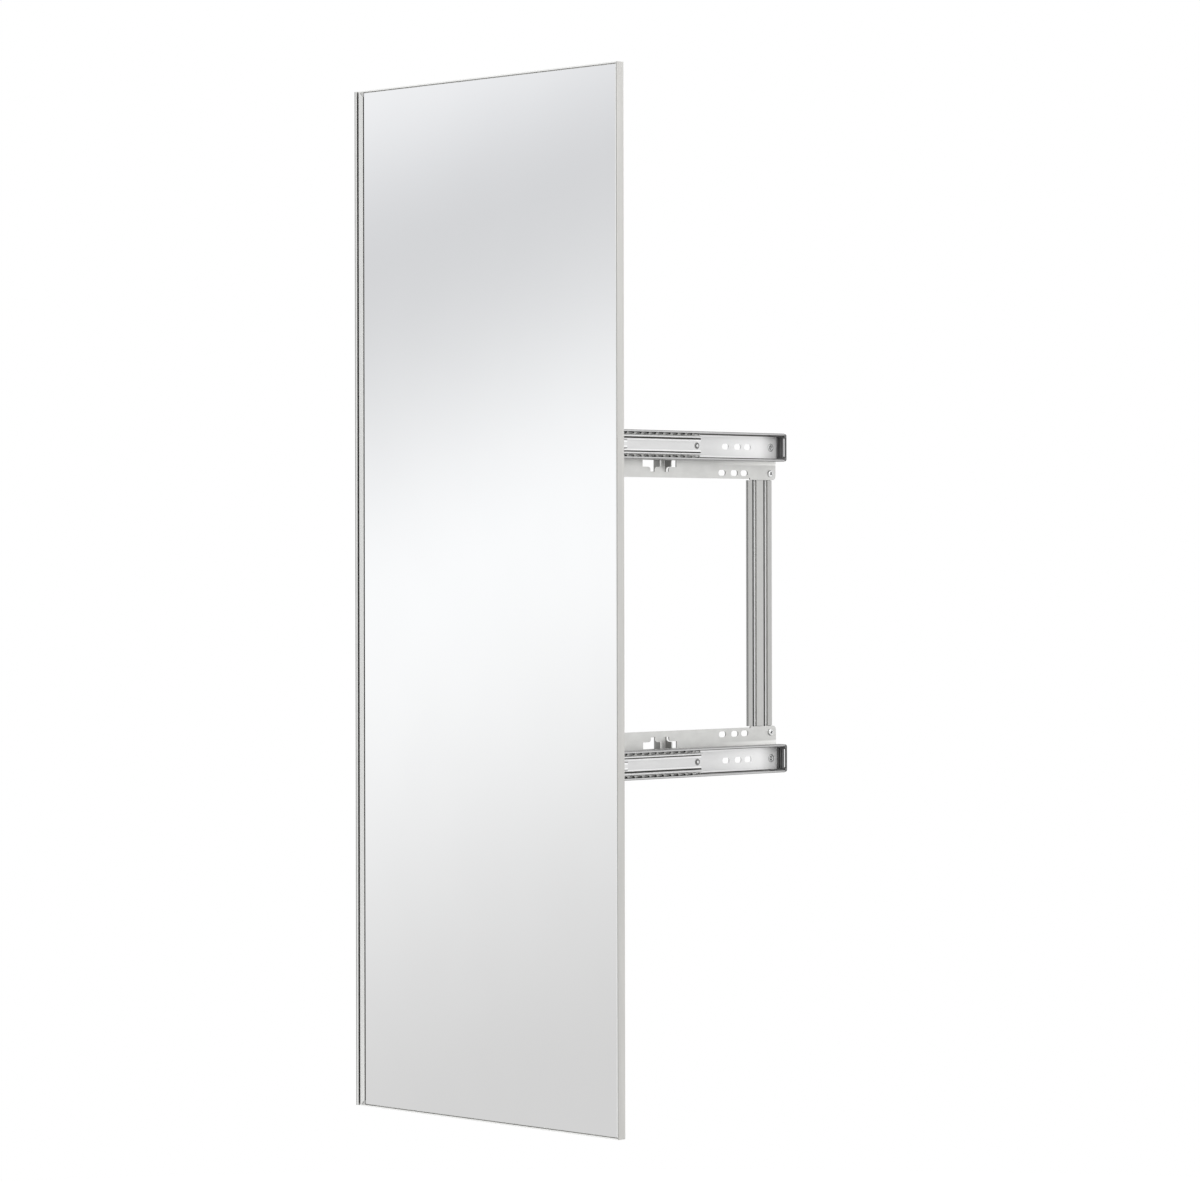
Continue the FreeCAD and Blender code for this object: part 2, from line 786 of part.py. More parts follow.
def bracket_rivets():
    rivets = []
    seat_x = inner_face_x + bracket_sheet
    tail_x = inner_web_x - bracket_rivet_tail
    for y in bracket_rivet_ys:
        shank = rod("x", y, rail_z, tail_x, seat_x, bracket_rivet_r)
        head = domed("x", y, rail_z, seat_x, seat_x + bracket_rivet_head, bracket_rivet_head_r)
        tail = rod("x", y, rail_z, tail_x, inner_web_x, bracket_rivet_r + rivet_flare)
        rivets.append(joined([shank, head, tail]))
    return group(rivets + [flipped(rivet) for rivet in rivets])


def pivot_tube():
    """Tube the mirror turns on, with a hole for each collar's set screw."""
    tube = rod("z", pivot_x, pivot_y, -tube_half, tube_half, tube_r)
    tools = [rod("z", pivot_x, pivot_y, -tube_half, tube_half, tube_bore_r)]
    for z in collar_zs:
        tools.append(rod("y", pivot_x, z + collar_height / 2, pivot_y, pivot_y + tube_r,
                         collar_screw_r + seat_clearance))
    return cut(tube, tools)


def tube_plugs():
    low_z = tube_half - plug_length
    plug = rod("z", pivot_x, pivot_y, low_z, tube_half, tube_bore_r - seat_clearance)
    plug = plug.cut(rod("z", pivot_x, pivot_y, low_z, tube_half, tube_screw_r + seat_clearance))
    return group([plug, flipped(plug)])


def tube_screws():
    """Button-head screws with a hexagon socket, through the bracket ears into the tube plugs."""
    seat = tube_half + bracket_sheet
    head = domed("z", pivot_x, pivot_y, seat, seat + tube_screw_head, tube_screw_head_r)
    shank = rod("z", pivot_x, pivot_y, seat - tube_screw_length, seat, tube_screw_r)
    socket = prism("z", hexagon(pivot_x, pivot_y, tube_screw_r * socket_share),
                   seat + tube_screw_head * (1 - recess_depth_share), seat + tube_screw_head)
    screw = joined([head, shank]).cut(socket)
    return group([screw, flipped(screw)])


def collar(z):
    """Ring clamped on the pivot tube by a set screw, close under one swivel bracket."""
    ring = rod("z", pivot_x, pivot_y, z, z + collar_height, collar_r)
    ring = ring.makeChamfer(collar_chamfer, [edge for edge in ring.Edges if len(edge.Vertexes) == 1])
    bore = rod("z", pivot_x, pivot_y, z, z + collar_height, tube_r + seat_clearance)
    screw_hole = rod("y", pivot_x, z + collar_height / 2, pivot_y, pivot_y + collar_r,
                     collar_screw_r + seat_clearance)
    return cut(ring, [bore, screw_hole])


def stop_collar():
    """Upper collar, with a curved slot that lets the stop pin travel through the swivel's range."""
    margin = math.degrees((stop_pin_r + stop_slot_clearance) / stop_pin_orbit)
    base = V(pivot_x, pivot_y, collar_zs[0] + collar_height - stop_slot_depth)
    up = V(0, 0, 1)
    outside = stop_pin_orbit + stop_pin_r + stop_slot_clearance
    inside = stop_pin_orbit - stop_pin_r - stop_slot_clearance
    sector = Part.makeCylinder(outside, stop_slot_depth, base, up, swivel_range + 2 * margin)
    sector = sector.cut(Part.makeCylinder(inside, stop_slot_depth, base, up))
    sector.rotate(base, up, -90 - margin)
    return collar(collar_zs[0]).cut(sector)


def collar_screws():
    """Headless set screws through the collars, with their tips in the tube's wall."""
    screws = []
    tip_y = pivot_y + tube_r - collar_screw_grip
    end_y = tip_y + collar_screw_length
    for z in collar_zs:
        middle_z = z + collar_height / 2
        screw = rod("y", pivot_x, middle_z, tip_y, end_y, collar_screw_r)
        socket = prism("y", hexagon(pivot_x, middle_z, collar_screw_r * socket_share),
                       end_y - collar_screw_r, end_y)
        screws.append(screw.cut(socket))
    return group(screws)


# ---- swivel brackets on the mirror ----


def board_screw_places(centre_z):
    return [(pivot_x + side_x * swivel_screw_pitch_x / 2, centre_z + side_z * swivel_screw_pitch_z / 2)
            for side_x in (1, -1) for side_z in (1, -1)]


def swivel_bracket(centre_z, pin_hole):
    """Die-cast bracket: a base plate on the mirror's back and a sleeve round the pivot tube."""
    low = centre_z - swivel_height / 2
    high = centre_z + swivel_height / 2
    seat_y = board_back_y + swivel_base_sheet
    half_base = swivel_base_width / 2
    half_block = swivel_block_width / 2
    half_foot = half_block + swivel_block_flare
    neck_y = seat_y + swivel_block_flare
    base = prism("y", rectangle(pivot_x - half_base, pivot_x + half_base, low, high, swivel_base_r),
                 board_back_y, seat_y)
    outline = [
        (pivot_x - half_foot, seat_y, 0),
        (pivot_x + half_foot, seat_y, 0),
        (pivot_x + half_block, neck_y, swivel_block_flare),
        (pivot_x + half_block, pivot_y, 0),
        (pivot_x - half_block, pivot_y, 0),
        (pivot_x - half_block, neck_y, swivel_block_flare),
    ]
    block = prism("z", outline, low, high)
    sleeve = rod("z", pivot_x, pivot_y, low, high, swivel_sleeve_r)
    tools = [rod("z", pivot_x, pivot_y, low, high, bush_r + seat_clearance)]
    for x, z in board_screw_places(centre_z):
        tools.append(rod("y", x, z, board_back_y, seat_y, board_screw_r + hole_clearance))
    if pin_hole:
        tools.append(rod("z", pivot_x, pivot_y - stop_pin_orbit, low, low + stop_pin_seat,
                         stop_pin_r + seat_clearance))
    return cut(joined([base, block, sleeve]), tools)


def stop_pin():
    low = swivel_centre_z - swivel_height / 2
    return rod("z", pivot_x, pivot_y - stop_pin_orbit, low - stop_pin_reach, low + stop_pin_seat - end_clearance,
               stop_pin_r)


def bushes():
    """Flanged plastic bush in each end of both sleeves."""
    parts = []
    for centre in swivel_zs:
        for side in (1, -1):
            end = centre + side * swivel_height / 2
            inner_z = end - side * bush_length
            outer_z = end + side * bush_flange
            sleeve = rod("z", pivot_x, pivot_y, min(end, inner_z), max(end, inner_z), bush_r)
            flange = rod("z", pivot_x, pivot_y, min(end, outer_z), max(end, outer_z), bush_flange_r)
            bore = rod("z", pivot_x, pivot_y, min(inner_z, outer_z), max(inner_z, outer_z), bush_bore_r)
            parts.append(joined([sleeve, flange]).cut(bore))
    return group(parts)


def board_screws():
    seat_y = board_back_y + swivel_base_sheet
    length = seat_y - board_front_y - end_clearance
    return group([pan_screw("y", x, z, seat_y, board_screw_head_r, board_screw_head, board_screw_r, length)
                  for centre in swivel_zs for x, z in board_screw_places(centre)])


def tee_nuts():
    """Flanged nuts let into the front of the backing board."""
    nuts = []
    for centre in swivel_zs:
        for x, z in board_screw_places(centre):
            flange = rod("y", x, z, board_front_y, board_front_y + tee_nut_flange, tee_nut_flange_r)
            barrel = rod("y", x, z, board_front_y, board_back_y - end_clearance, tee_nut_r)
            bore = rod("y", x, z, board_front_y, board_back_y, board_screw_r + seat_clearance)
            nuts.append(joined([flange, barrel]).cut(bore))
    return group(nuts)


# ---- mirror panel ----


def key_corners():
    """Outer corner, and the X and Z directions into the panel, of the four corner keys."""
    return [(x, z, dx, dz) for x, dx in ((glass_left_x, 1), (glass_right_x, -1))
            for z, dz in ((glass_low_z, 1), (glass_high_z, -1))]


def key_plan(x, z, dx, dz, clearance):
    """Corners of one key, grown by a clearance on its inner sides."""
    width = key_width + clearance
    leg = key_leg + clearance
    return [
        (x, z, 0),
        (x + dx * leg, z, 0),
        (x + dx * leg, z + dz * width, 0),
        (x + dx * width, z + dz * width, 0),
        (x + dx * width, z + dz * leg, 0),
        (x, z + dz * leg, 0),
    ]


def key_screw_places():
    places = []
    near = key_width / 2
    far = near + key_screw_pitch
    for x, z, dx, dz in key_corners():
        places += [(x + dx * far, z + dz * near), (x + dx * near, z + dz * far)]
    return places


def corner_keys():
    """Flat L-shaped keys that lie on the profiles' back flanges and tie them together."""
    holes = [rod("y", x, z, board_back_y - key_sheet, board_back_y, key_screw_r + seat_clearance)
             for x, z in key_screw_places()]
    return group([cut(prism("y", key_plan(*corner, 0), board_back_y - key_sheet, board_back_y), holes)
                  for corner in key_corners()])


def key_screws():
    length = frame_back_sheet + key_sheet - end_clearance
    return group([pan_screw("y", x, z, panel_back_y, key_screw_head_r, key_screw_head, key_screw_r, length)
                  for x, z in key_screw_places()])


def flange_holes():
    """Holes for the corner key screws in the profiles' back flanges."""
    return [rod("y", x, z, board_back_y, panel_back_y, key_screw_r + hole_clearance) for x, z in key_screw_places()]


def backing_board():
    """Board behind the glass, notched at its corners for the keys."""
    board = box((glass_left_x, glass_right_x), (board_front_y, board_back_y), (glass_low_z, glass_high_z))
    tools = [prism("y", key_plan(*corner, side_clearance), board_front_y, board_back_y) for corner in key_corners()]
    for centre in swivel_zs:
        for x, z in board_screw_places(centre):
            tools.append(rod("y", x, z, board_front_y, board_back_y, tee_nut_r + seat_clearance))
            tools.append(rod("y", x, z, board_front_y, board_front_y + tee_nut_flange + seat_clearance,
                             tee_nut_flange_r + seat_clearance))
    return cut(board, tools)


def mounting_tape():
    """Vertical strips of double-sided tape between glass and board."""
    first_x = glass_left_x + key_width + tape_key_gap
    pitch = (glass_right_x - key_width - tape_key_gap - tape_width - first_x) / (tape_rows - 1)
    z_pair = (glass_low_z + tape_end_inset, glass_high_z - tape_end_inset)
    return group([box((first_x + i * pitch, first_x + i * pitch + tape_width), (tape_front_y, board_front_y), z_pair)
                  for i in range(tape_rows)])


def mirror_glass():
    """Sheet with an arris ground along its front edges."""
    sheet = box((glass_left_x, glass_right_x), (glass_front_y, tape_front_y), (glass_low_z, glass_high_z))
    front = [edge for edge in sheet.Edges if abs(edge.CenterOfMass.y - glass_front_y) < 1e-6]
    return sheet.makeChamfer(glass_arris, front)


def side_profile():
    """Angle profile down the far edge, mitred at both ends."""
    flange_x = panel_right_x - frame_back_width
    section = [
        (panel_right_x, panel_front_y, edge_r),
        (panel_right_x, panel_back_y, edge_r),
        (flange_x, panel_back_y, edge_r),
        (flange_x, board_back_y, edge_r),
        (panel_right_x - frame_wall, board_back_y, 0),
        (panel_right_x - frame_wall, panel_front_y, edge_r),
    ]
    bar = prism("z", section, panel_low_z, panel_high_z)
    reach = frame_back_width + overcut
    mitred = [
        (panel_right_x, panel_low_z, 0),
        (panel_right_x, panel_high_z, 0),
        (panel_right_x - reach, panel_high_z - reach, 0),
        (panel_right_x - reach, panel_low_z + reach, 0),
    ]
    return cut(bar.common(prism("y", mitred, panel_front_y, panel_back_y)), flange_holes())


def end_profile(edge_z, inward):
    """Angle profile along the bottom or top edge, mitred at the far end. Its back flange starts
    beside the handle profile's."""
    wall_z = edge_z + inward * frame_wall
    flange_z = edge_z + inward * frame_back_width
    section = [
        (panel_front_y, edge_z, edge_r),
        (panel_back_y, edge_z, edge_r),
        (panel_back_y, flange_z, edge_r),
        (board_back_y, flange_z, edge_r),
        (board_back_y, wall_z, 0),
        (panel_front_y, wall_z, edge_r),
    ]
    bar = prism("x", section, band_x, panel_right_x)
    handle_side = box((band_x, handle_back_x), (board_back_y, panel_back_y), (wall_z, flange_z))
    reach = frame_back_width + overcut
    past_mitre = [
        (panel_right_x, edge_z, 0),
        (panel_right_x, edge_z + inward * reach, 0),
        (panel_right_x - reach, edge_z + inward * reach, 0),
    ]
    return cut(bar, [handle_side, prism("y", past_mitre, panel_front_y, panel_back_y)] + flange_holes())


def cut_corner(edge_z, inward, clearance):
    """Corners of the triangle between the end profile and the cut end of the handle's band."""
    wall_z = edge_z + inward * (frame_wall + clearance)
    cut_length = handle_corner_cut - 2 * clearance
    return [(band_end_x - cut_length, wall_z, 0), (band_end_x, wall_z, 0), (band_end_x, wall_z + inward * cut_length, 0)]


def handle_profile():
    """Profile down the free edge: a rim, a finger groove and a flat band cut at an angle at its
    ends, with a back flange under the board and a cavity along the band."""
    groove_y = panel_front_y + handle_groove_depth
    section = [
        (panel_left_x, panel_front_y, edge_r),
        (rim_x, panel_front_y, edge_r),
        (rim_x, groove_y, edge_r),
        (band_x, groove_y, edge_r),
        (band_x, panel_front_y, edge_r),
        (band_end_x, panel_front_y, edge_r),
        (band_end_x, board_back_y, 0),
        (handle_back_x, board_back_y, edge_r),
        (handle_back_x, panel_back_y, edge_r),
        (panel_left_x, panel_back_y, edge_r),
    ]
    bar = prism("z", section, panel_low_z, panel_high_z)
    cavity_x = (band_x + band_end_x - handle_cavity) / 2
    cavity = rectangle(cavity_x, cavity_x + handle_cavity, panel_front_y + handle_cavity_skin,
                       board_back_y - handle_cavity_skin, edge_r)
    tools = [prism("z", cavity, panel_low_z, panel_high_z)]
    for edge_z, inward in frame_ends:
        tools.append(box((band_x, handle_back_x), (panel_front_y, panel_back_y),
                         (edge_z, edge_z + inward * frame_wall)))
        tools.append(prism("y", cut_corner(edge_z, inward, 0), panel_front_y, board_back_y))
    return cut(bar, tools + flange_holes())


def handle_inserts():
    """Small moulded pieces that fill the cut corners of the band and close the ends of the gap
    beside the glass."""
    inserts = []
    far_y = board_back_y - end_clearance
    for edge_z, inward in frame_ends:
        wall_z = edge_z + inward * (frame_wall + seat_clearance)
        triangle = prism("y", cut_corner(edge_z, inward, seat_clearance), glass_front_y, far_y)
        tab = box((band_end_x, glass_left_x - seat_clearance), (glass_front_y, far_y),
                  (wall_z, wall_z + inward * (handle_corner_cut - 2 * seat_clearance)))
        inserts.append(joined([triangle, tab]))
    return group(inserts)


# ---- output ----


def slide_nodes():
    """Shapes of the upper slide that the lower one repeats upside down."""
    return {
        "mounting_plate": mounting_plate(),
        "outer_rail": outer_rail(),
        "end_buffer": end_buffer(),
        "middle_rail": middle_rail(),
        "inner_rail": inner_rail(),
        "outer_ball_cages": outer_cages(),
        "outer_balls": balls(outer_cage_y, outer_ball_x, outer_ball_offset, outer_ball_d),
        "inner_ball_cages": inner_cages(),
        "inner_balls": balls(inner_cage_y, inner_ball_x, inner_ball_offset, inner_ball_d),
        "pivot_bracket": pivot_bracket(),
    }


def single_nodes():
    """Shapes of every other node."""
    return {
        "rear_upright": rear_upright(),
        "upright_screws": upright_screws(),
        "rail_rivets": rail_rivets(),
        "middle_rail_rivets": middle_rivets(),
        "bracket_rivets": bracket_rivets(),
        "pivot_tube": pivot_tube(),
        "tube_end_plugs": tube_plugs(),
        "tube_end_screws": tube_screws(),
        "stop_collar": stop_collar(),
        "support_collar": collar(collar_zs[1]),
        "collar_set_screws": collar_screws(),
        "upper_swivel_bracket": swivel_bracket(swivel_zs[0], True),
        "lower_swivel_bracket": swivel_bracket(swivel_zs[1], False),
        "swivel_bushes": bushes(),
        "stop_pin": stop_pin(),
        "swivel_bracket_screws": board_screws(),
        "tee_nuts": tee_nuts(),
        "backing_board": backing_board(),
        "mounting_tape": mounting_tape(),
        "mirror_glass": mirror_glass(),
        "corner_keys": corner_keys(),
        "corner_key_screws": key_screws(),
        "side_profile": side_profile(),
        "top_profile": end_profile(panel_high_z, -1),
        "bottom_profile": end_profile(panel_low_z, 1),
        "handle_profile": handle_profile(),
        "handle_corner_inserts": handle_inserts(),
    }


nodes = single_nodes()
for name, shape in slide_nodes().items():
    nodes["upper_" + name] = shape
    nodes["lower_" + name] = flipped(shape)

os.makedirs("parts", exist_ok=True)
for node, shape in nodes.items():
    if not shape.isValid():
        raise ValueError(node + " is not a valid shape")
    shape.exportStep("parts/" + node + ".step")
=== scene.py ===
"""Pull-out closet mirror: surfaces, fine pieces and studio around the packed model.

Lengths are in metres in the packed model's own frame: X = 0 is the wardrobe's side panel, -Y is
the way the mirror pulls out and +Z is up. The sidebar's Closet Mirror tab holds the settings.
"""

import math

import bmesh
import bpy
from mathutils import Matrix, Vector


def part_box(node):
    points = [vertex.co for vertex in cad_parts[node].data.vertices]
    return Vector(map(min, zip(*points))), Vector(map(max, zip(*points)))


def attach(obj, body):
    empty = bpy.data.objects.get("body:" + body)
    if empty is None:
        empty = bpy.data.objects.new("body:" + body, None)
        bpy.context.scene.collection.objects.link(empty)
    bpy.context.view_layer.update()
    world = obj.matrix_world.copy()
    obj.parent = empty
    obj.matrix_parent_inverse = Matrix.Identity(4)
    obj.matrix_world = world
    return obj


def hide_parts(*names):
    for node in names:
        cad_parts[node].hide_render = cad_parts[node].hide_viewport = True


bl_info = {
    "name": "Pull-out Closet Mirror",
    "version": (1, 0, 0),
    "blender": (4, 5, 0),
    "location": "View3D > Sidebar > Closet Mirror",
    "description": "Surfaces, fine pieces and studio of a pull-out closet mirror on ball slides",
    "category": "Object",
}

MM = 0.001

# The inside of each rail's bends, as heights in millimetres from the middle of the slide. A line
# of painted shade lies there, and a painted highlight on the strip beside it.
OUTER_SHADE_LINE = (11.7, 12.95)
MIDDLE_SHADE_LINE = (6.4, 8.0)
INNER_SHADE_LINE = (3.6, 4.2)
HIGHLIGHT_BY_SHADE_LINE = 1.8

# Heights of the outer rail's lips and of their rolled edges, which are painted darker as shade,
# and of the plate's strip beside the rail, where light is painted, counted the same way.
OUTER_LIPS = (12.95, 20.0)
LIP_EDGES = (14.3, 20.0)
STRIP_BY_RAIL = (14.0, 19.0)

# Places along Y between which light is painted on more and more towards the slides' rear, and the
# rails' plating turns frosted.
LIGHT_TOWARD_REAR = (0.05, 0.13)
TURNS_FROSTED = (0.125, 0.143)

# Heights in millimetres over the upright's back: its slots, painted nearly black as shade, and the
# ledges beside them, where a highlight is painted. Its lands begin between two distances from its
# middle.
UPRIGHT_SLOTS = (0.3, 0.7)
UPRIGHT_LEDGES = (0.75, 1.1)
UPRIGHT_LANDS = (5.3, 5.6)

# The levels that most of a noise pattern lies between, and the most light that a colour gives
# back when it is made brighter.
NOISE_LEVELS = (0.3, 0.7)
BRIGHTEST = 0.97

# Edges that turn by more than this are sharp.
CREASE = math.radians(32)
ROUND_STEPS = 32
THREAD_PITCH = 0.7 * MM

# What gloss sees round the studio, as (place, colour): the floor's side, dusk, the large soft
# box, dusk again, the small soft box and the ceiling. Places are counted along the rise, as
# shares of its reach, and gloss takes all of it up by one factor.
STUDIO_BANDS = (
    (0.0, "F6F6F6"), (0.21, "EFEFEF"), (0.29, "D7D7D7"), (0.378, "D9D9D9"), (0.503, "FAFBFC"),
    (0.592, "D5D6D8"), (0.64, "EFF0F2"), (1.0, "F8F8F8"),
)
STUDIO_RISE = (-0.58, 0.0, 1.0)
STUDIO_REACH = 0.84
STUDIO_GLOSS = 1.04
WHITE = (1.0, 1.0, 1.0)

# The soft lamps, as (name, place, share of the main power, side).
LAMPS = (
    ("slide_side", (4.2, 0.8, 1.6), 0.85, 3.2),
    ("mirror_side", (1.2, -3.8, 3.2), 1.1, 2.4),
    ("overhead", (0.2, 0.0, 4.2), 0.8, 3.0),
)

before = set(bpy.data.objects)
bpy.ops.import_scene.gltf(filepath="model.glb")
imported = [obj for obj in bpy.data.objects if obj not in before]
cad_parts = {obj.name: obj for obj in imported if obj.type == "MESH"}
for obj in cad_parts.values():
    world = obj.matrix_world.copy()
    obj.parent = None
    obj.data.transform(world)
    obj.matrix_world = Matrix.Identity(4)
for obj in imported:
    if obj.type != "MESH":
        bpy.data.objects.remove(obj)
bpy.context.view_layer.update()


# ---- colours and shader nodes ----


def linear(code):
    """Linear red, green and blue of an sRGB hex colour."""
    levels = [int(code[i:i + 2], 16) / 255 for i in (0, 2, 4)]
    return tuple(c / 12.92 if c <= 0.04045 else ((c + 0.055) / 1.055) ** 2.4 for c in levels)


def toned(colour, share):
    """Colour made darker or brighter, kept short of pure white."""
    return tuple(min(c * share, BRIGHTEST) for c in colour)


def add(tree, kind, inputs=(), **settings):
    """Add a shader node and return its outputs. Inputs are values or links, by name or in the
    node's own order, and colours are red, green and blue."""
    made = tree.nodes.new("ShaderNode" + kind)
    for name, value in settings.items():
        setattr(made, name, value)
    for key, value in inputs.items() if isinstance(inputs, dict) else enumerate(inputs):
        socket = made.inputs[key]
        if isinstance(value, bpy.types.NodeSocket):
            tree.links.new(value, socket)
        else:
            socket.default_value = (*value, 1.0) if socket.type == "RGBA" else value
    return made.outputs


def blank(name):
    """New material with an empty node tree."""
    material = bpy.data.materials.new(name)
    material.use_nodes = True
    material.node_tree.nodes.clear()
    return material, material.node_tree


def coats(tree, colour, *layers):
    """Colour under layers of (mask, colour), each over the ones before it. A mask is a link, or
    a pattern with the most that it covers and the levels between which it comes to that."""
    for mask, over in layers:
        if isinstance(mask, tuple):
            pattern, most, *levels = mask
            start, end = levels or NOISE_LEVELS
            mask = add(tree, "MapRange", (pattern, start, end, 0.0, most))[0]
        colour = add(tree, "Mix", {0: mask, 6: colour, 7: over}, data_type="RGBA")[2]
    return colour


def shade(tree, tint, roughness, reliefs=(), **sockets):
    """Close a tree with its surface shader. Roughness is a pattern with the values that it runs
    between, and the pattern's levels where they aren't a noise's. A relief is a pattern, its
    depth in millimetres and its strength, the finest first."""
    pattern, low, high, *levels = roughness
    start, end = levels or NOISE_LEVELS
    rough = add(tree, "MapRange", (pattern, start, end, low, high))[0]
    surface = {"Base Color": tint, "Roughness": rough, **sockets}
    for height, depth_mm, strength in reliefs:
        bump = {"Height": height, "Distance": depth_mm * MM, "Strength": strength}
        if "Normal" in surface:
            bump["Normal"] = surface["Normal"]
        surface["Normal"] = add(tree, "Bump", bump)["Normal"]
    add(tree, "OutputMaterial", {"Surface": add(tree, "BsdfPrincipled", surface)["BSDF"]})


def grain(tree, size, detail=2.0, offset=0.0):
    """Noise whose grains are size = (x, y, z) millimetres, on the object's own coordinates."""
    place = add(tree, "TexCoord")["Object"]
    scale = tuple(1 / (length * MM) for length in size)
    spread = add(tree, "Mapping", {"Vector": place, "Location": (offset, offset, offset),
                                   "Scale": scale})["Vector"]
    return add(tree, "TexNoise", {"Vector": spread, "Scale": 1.0, "Detail": detail})["Fac"]


def along(tree, axis):
    """Place on one of the object's own axes."""
    place = add(tree, "TexCoord")["Object"]
    return add(tree, "SeparateXYZ", (place,))["xyz".index(axis)]


def facing(tree, direction):
    """1 on faces that look in a direction of the object's own frame and 0 on the others."""
    normal = add(tree, "TexCoord")["Normal"]
    toward = add(tree, "VectorMath", (normal, direction), operation="DOT_PRODUCT")["Value"]
    return add(tree, "MapRange", (toward, 0.6, 0.9, 0.0, 1.0))[0]


def away_from(tree, value, place):
    """Distance of a value from a place, either way."""
    apart = add(tree, "Math", (value, place), operation="SUBTRACT")[0]
    return add(tree, "Math", (apart,), operation="ABSOLUTE")[0]


def from_slide_middle(tree):
    """Height above or below the middle of the nearer slide."""
    low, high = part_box("upper_outer_rail")
    height = add(tree, "Math", (along(tree, "z"),), operation="ABSOLUTE")[0]
    return away_from(tree, height, (low.z + high.z) / 2)


def band(tree, value, low_mm, high_mm, soft_mm=0.12):
    """1 where a length lies between two others and 0 elsewhere."""
    low = [(low_mm + side * soft_mm) * MM for side in (-1, 1)]
    high = [(high_mm + side * soft_mm) * MM for side in (-1, 1)]
    rise = add(tree, "MapRange", (value, *low, 0.0, 1.0))[0]
    fall = add(tree, "MapRange", (value, *high, 1.0, 0.0))[0]
    return add(tree, "Math", (rise, fall), operation="MULTIPLY")[0]


def painted_light_toward_rear(tree):
    """0 over the front of the slides and 1 at their rear: the share of light painted on towards
    the rear.
    """
    return add(tree, "MapRange", (along(tree, "y"), *LIGHT_TOWARD_REAR, 0.0, 1.0))[0]


def crevice(tree, reach_mm, start, end):
    """1 deep in a corner or gap and 0 on open faces: the mask of the shade painted there."""
    open_share = add(tree, "AmbientOcclusion", {"Distance": reach_mm * MM}, samples=6)["AO"]
    return add(tree, "MapRange", (open_share, start, end, 1.0, 0.0))[0]


# ---- settings ----


def colour_setting(name, description, code):
    """Colour in the sidebar, from an sRGB hex code."""
    return bpy.props.FloatVectorProperty(name=name, description=description, subtype="COLOR",
                                         size=3, min=0, max=1, default=linear(code))


def length_setting(name, description, default):
    """Length in the sidebar."""
    return bpy.props.FloatProperty(name=name, description=description, unit="LENGTH",
                                   default=default)


class MirrorSettings(bpy.types.PropertyGroup):
    """The mirror sheet."""

    silver: colour_setting("Silvering", "Tint of the reflection", "FBFBFB")
    ground_glass: colour_setting("Ground edge", "Colour of the ground arris and edges", "FCFDFC")
    backing_paint: colour_setting("Backing paint", "Paint over the silvering on the back",
                                  "6F7774")
    arris: length_setting("Arris", "Width of the ground arris across each face", 0.8 * MM)
    back_arris: length_setting("Back arris", "Width of the seamed edge on the back", 0.4 * MM)
    corner: length_setting("Corner", "Radius of the sheet's corners", 0.8 * MM)


class AluminiumSettings(bpy.types.PropertyGroup):
    """The extruded profiles and the upright."""

    anodised: colour_setting("Anodised", "Colour of the satin anodised profiles", "CCCBC8")
    # Painted light: the colour of the profiles' front faces, lighter than the bar.
    front_painted_light: colour_setting("Front painted light", "Colour painted as light on the profiles' front faces", "EEEEEC")
    upright: colour_setting("Upright", "Colour of the upright's mill-bright face", "CBCBC9")
    die_line: length_setting("Die lines", "Spacing of the lines the die leaves", 0.6 * MM)


class SlideSettings(bpy.types.PropertyGroup):
    """The slides and mounting plates."""

    zinc: colour_setting("Zinc", "Bright zinc plating on sheet", "D6D6D4")
    rail: colour_setting("Rail", "Bright zinc plating on the rails under their oil", "DEDEDE")
    # Painted light: the rails' colour towards their rear and beside the lines of shade.
    rail_painted_light: colour_setting("Rail, painted light", "Paler rail colour, painted as light towards the rear and beside the shade lines", "F4F4F4")
    # Darker than the plating's own tone, as painted shade on the cages.
    cage: colour_setting("Cage", "Dull plating on the ball cages", "A6A6A4")
    # Also painted as shade in the rails' bends and corners and on the cages' hidden faces.
    grease_and_shade: colour_setting("Grease", "Old greasy dirt, also painted as shade in the rails' bends and corners and on the cages", "34332F")
    buffer: colour_setting("Buffer", "Black of the moulded end buffers", "747475")


class StudioSettings(bpy.types.PropertyGroup):
    """Floor, lamps and camera."""

    floor_drop: length_setting("Floor", "Height of the floor from halfway between the slides",
                               -1.45)
    floor_radius: length_setting("Floor radius", "Radius of the round floor", 6.0)
    ambient: bpy.props.FloatProperty(
        name="Ambient", description="Level of the even light from all sides", default=0.55,
        min=0, max=2)
    lamp_power: bpy.props.FloatProperty(
        name="Lamps", description="Power of the main lamp", subtype="POWER", default=60.0, min=0)
    lens: bpy.props.FloatProperty(
        name="Lens", description="Focal length of the camera, in millimetres", default=128.25,
        min=10)
    camera_at: bpy.props.FloatVectorProperty(
        name="Camera", description="Place of the camera", subtype="TRANSLATION", unit="LENGTH",
        size=3, default=(3.1149, -3.2038, 0.0485))
    camera_turn: bpy.props.FloatProperty(
        name="Camera turn", description="Turn of the camera about the vertical", subtype="ANGLE",
        default=math.radians(45.193))
    camera_roll: bpy.props.FloatProperty(
        name="Camera roll", description="Tilt of the frame about the line of sight",
        subtype="ANGLE", default=0.0018)
    shift: bpy.props.FloatProperty(
        name="Shift", description="Rise of the lens, as a share of the frame", default=-0.03515)


# ---- materials ----


def die_lines(tree, drawn, line):
    """Long fine lines along the way a bar left its die, drawn coarser than they are."""
    pitch = line / MM
    return grain(tree, [400 * pitch if axis == drawn else pitch for axis in "xyz"], detail=3.0)


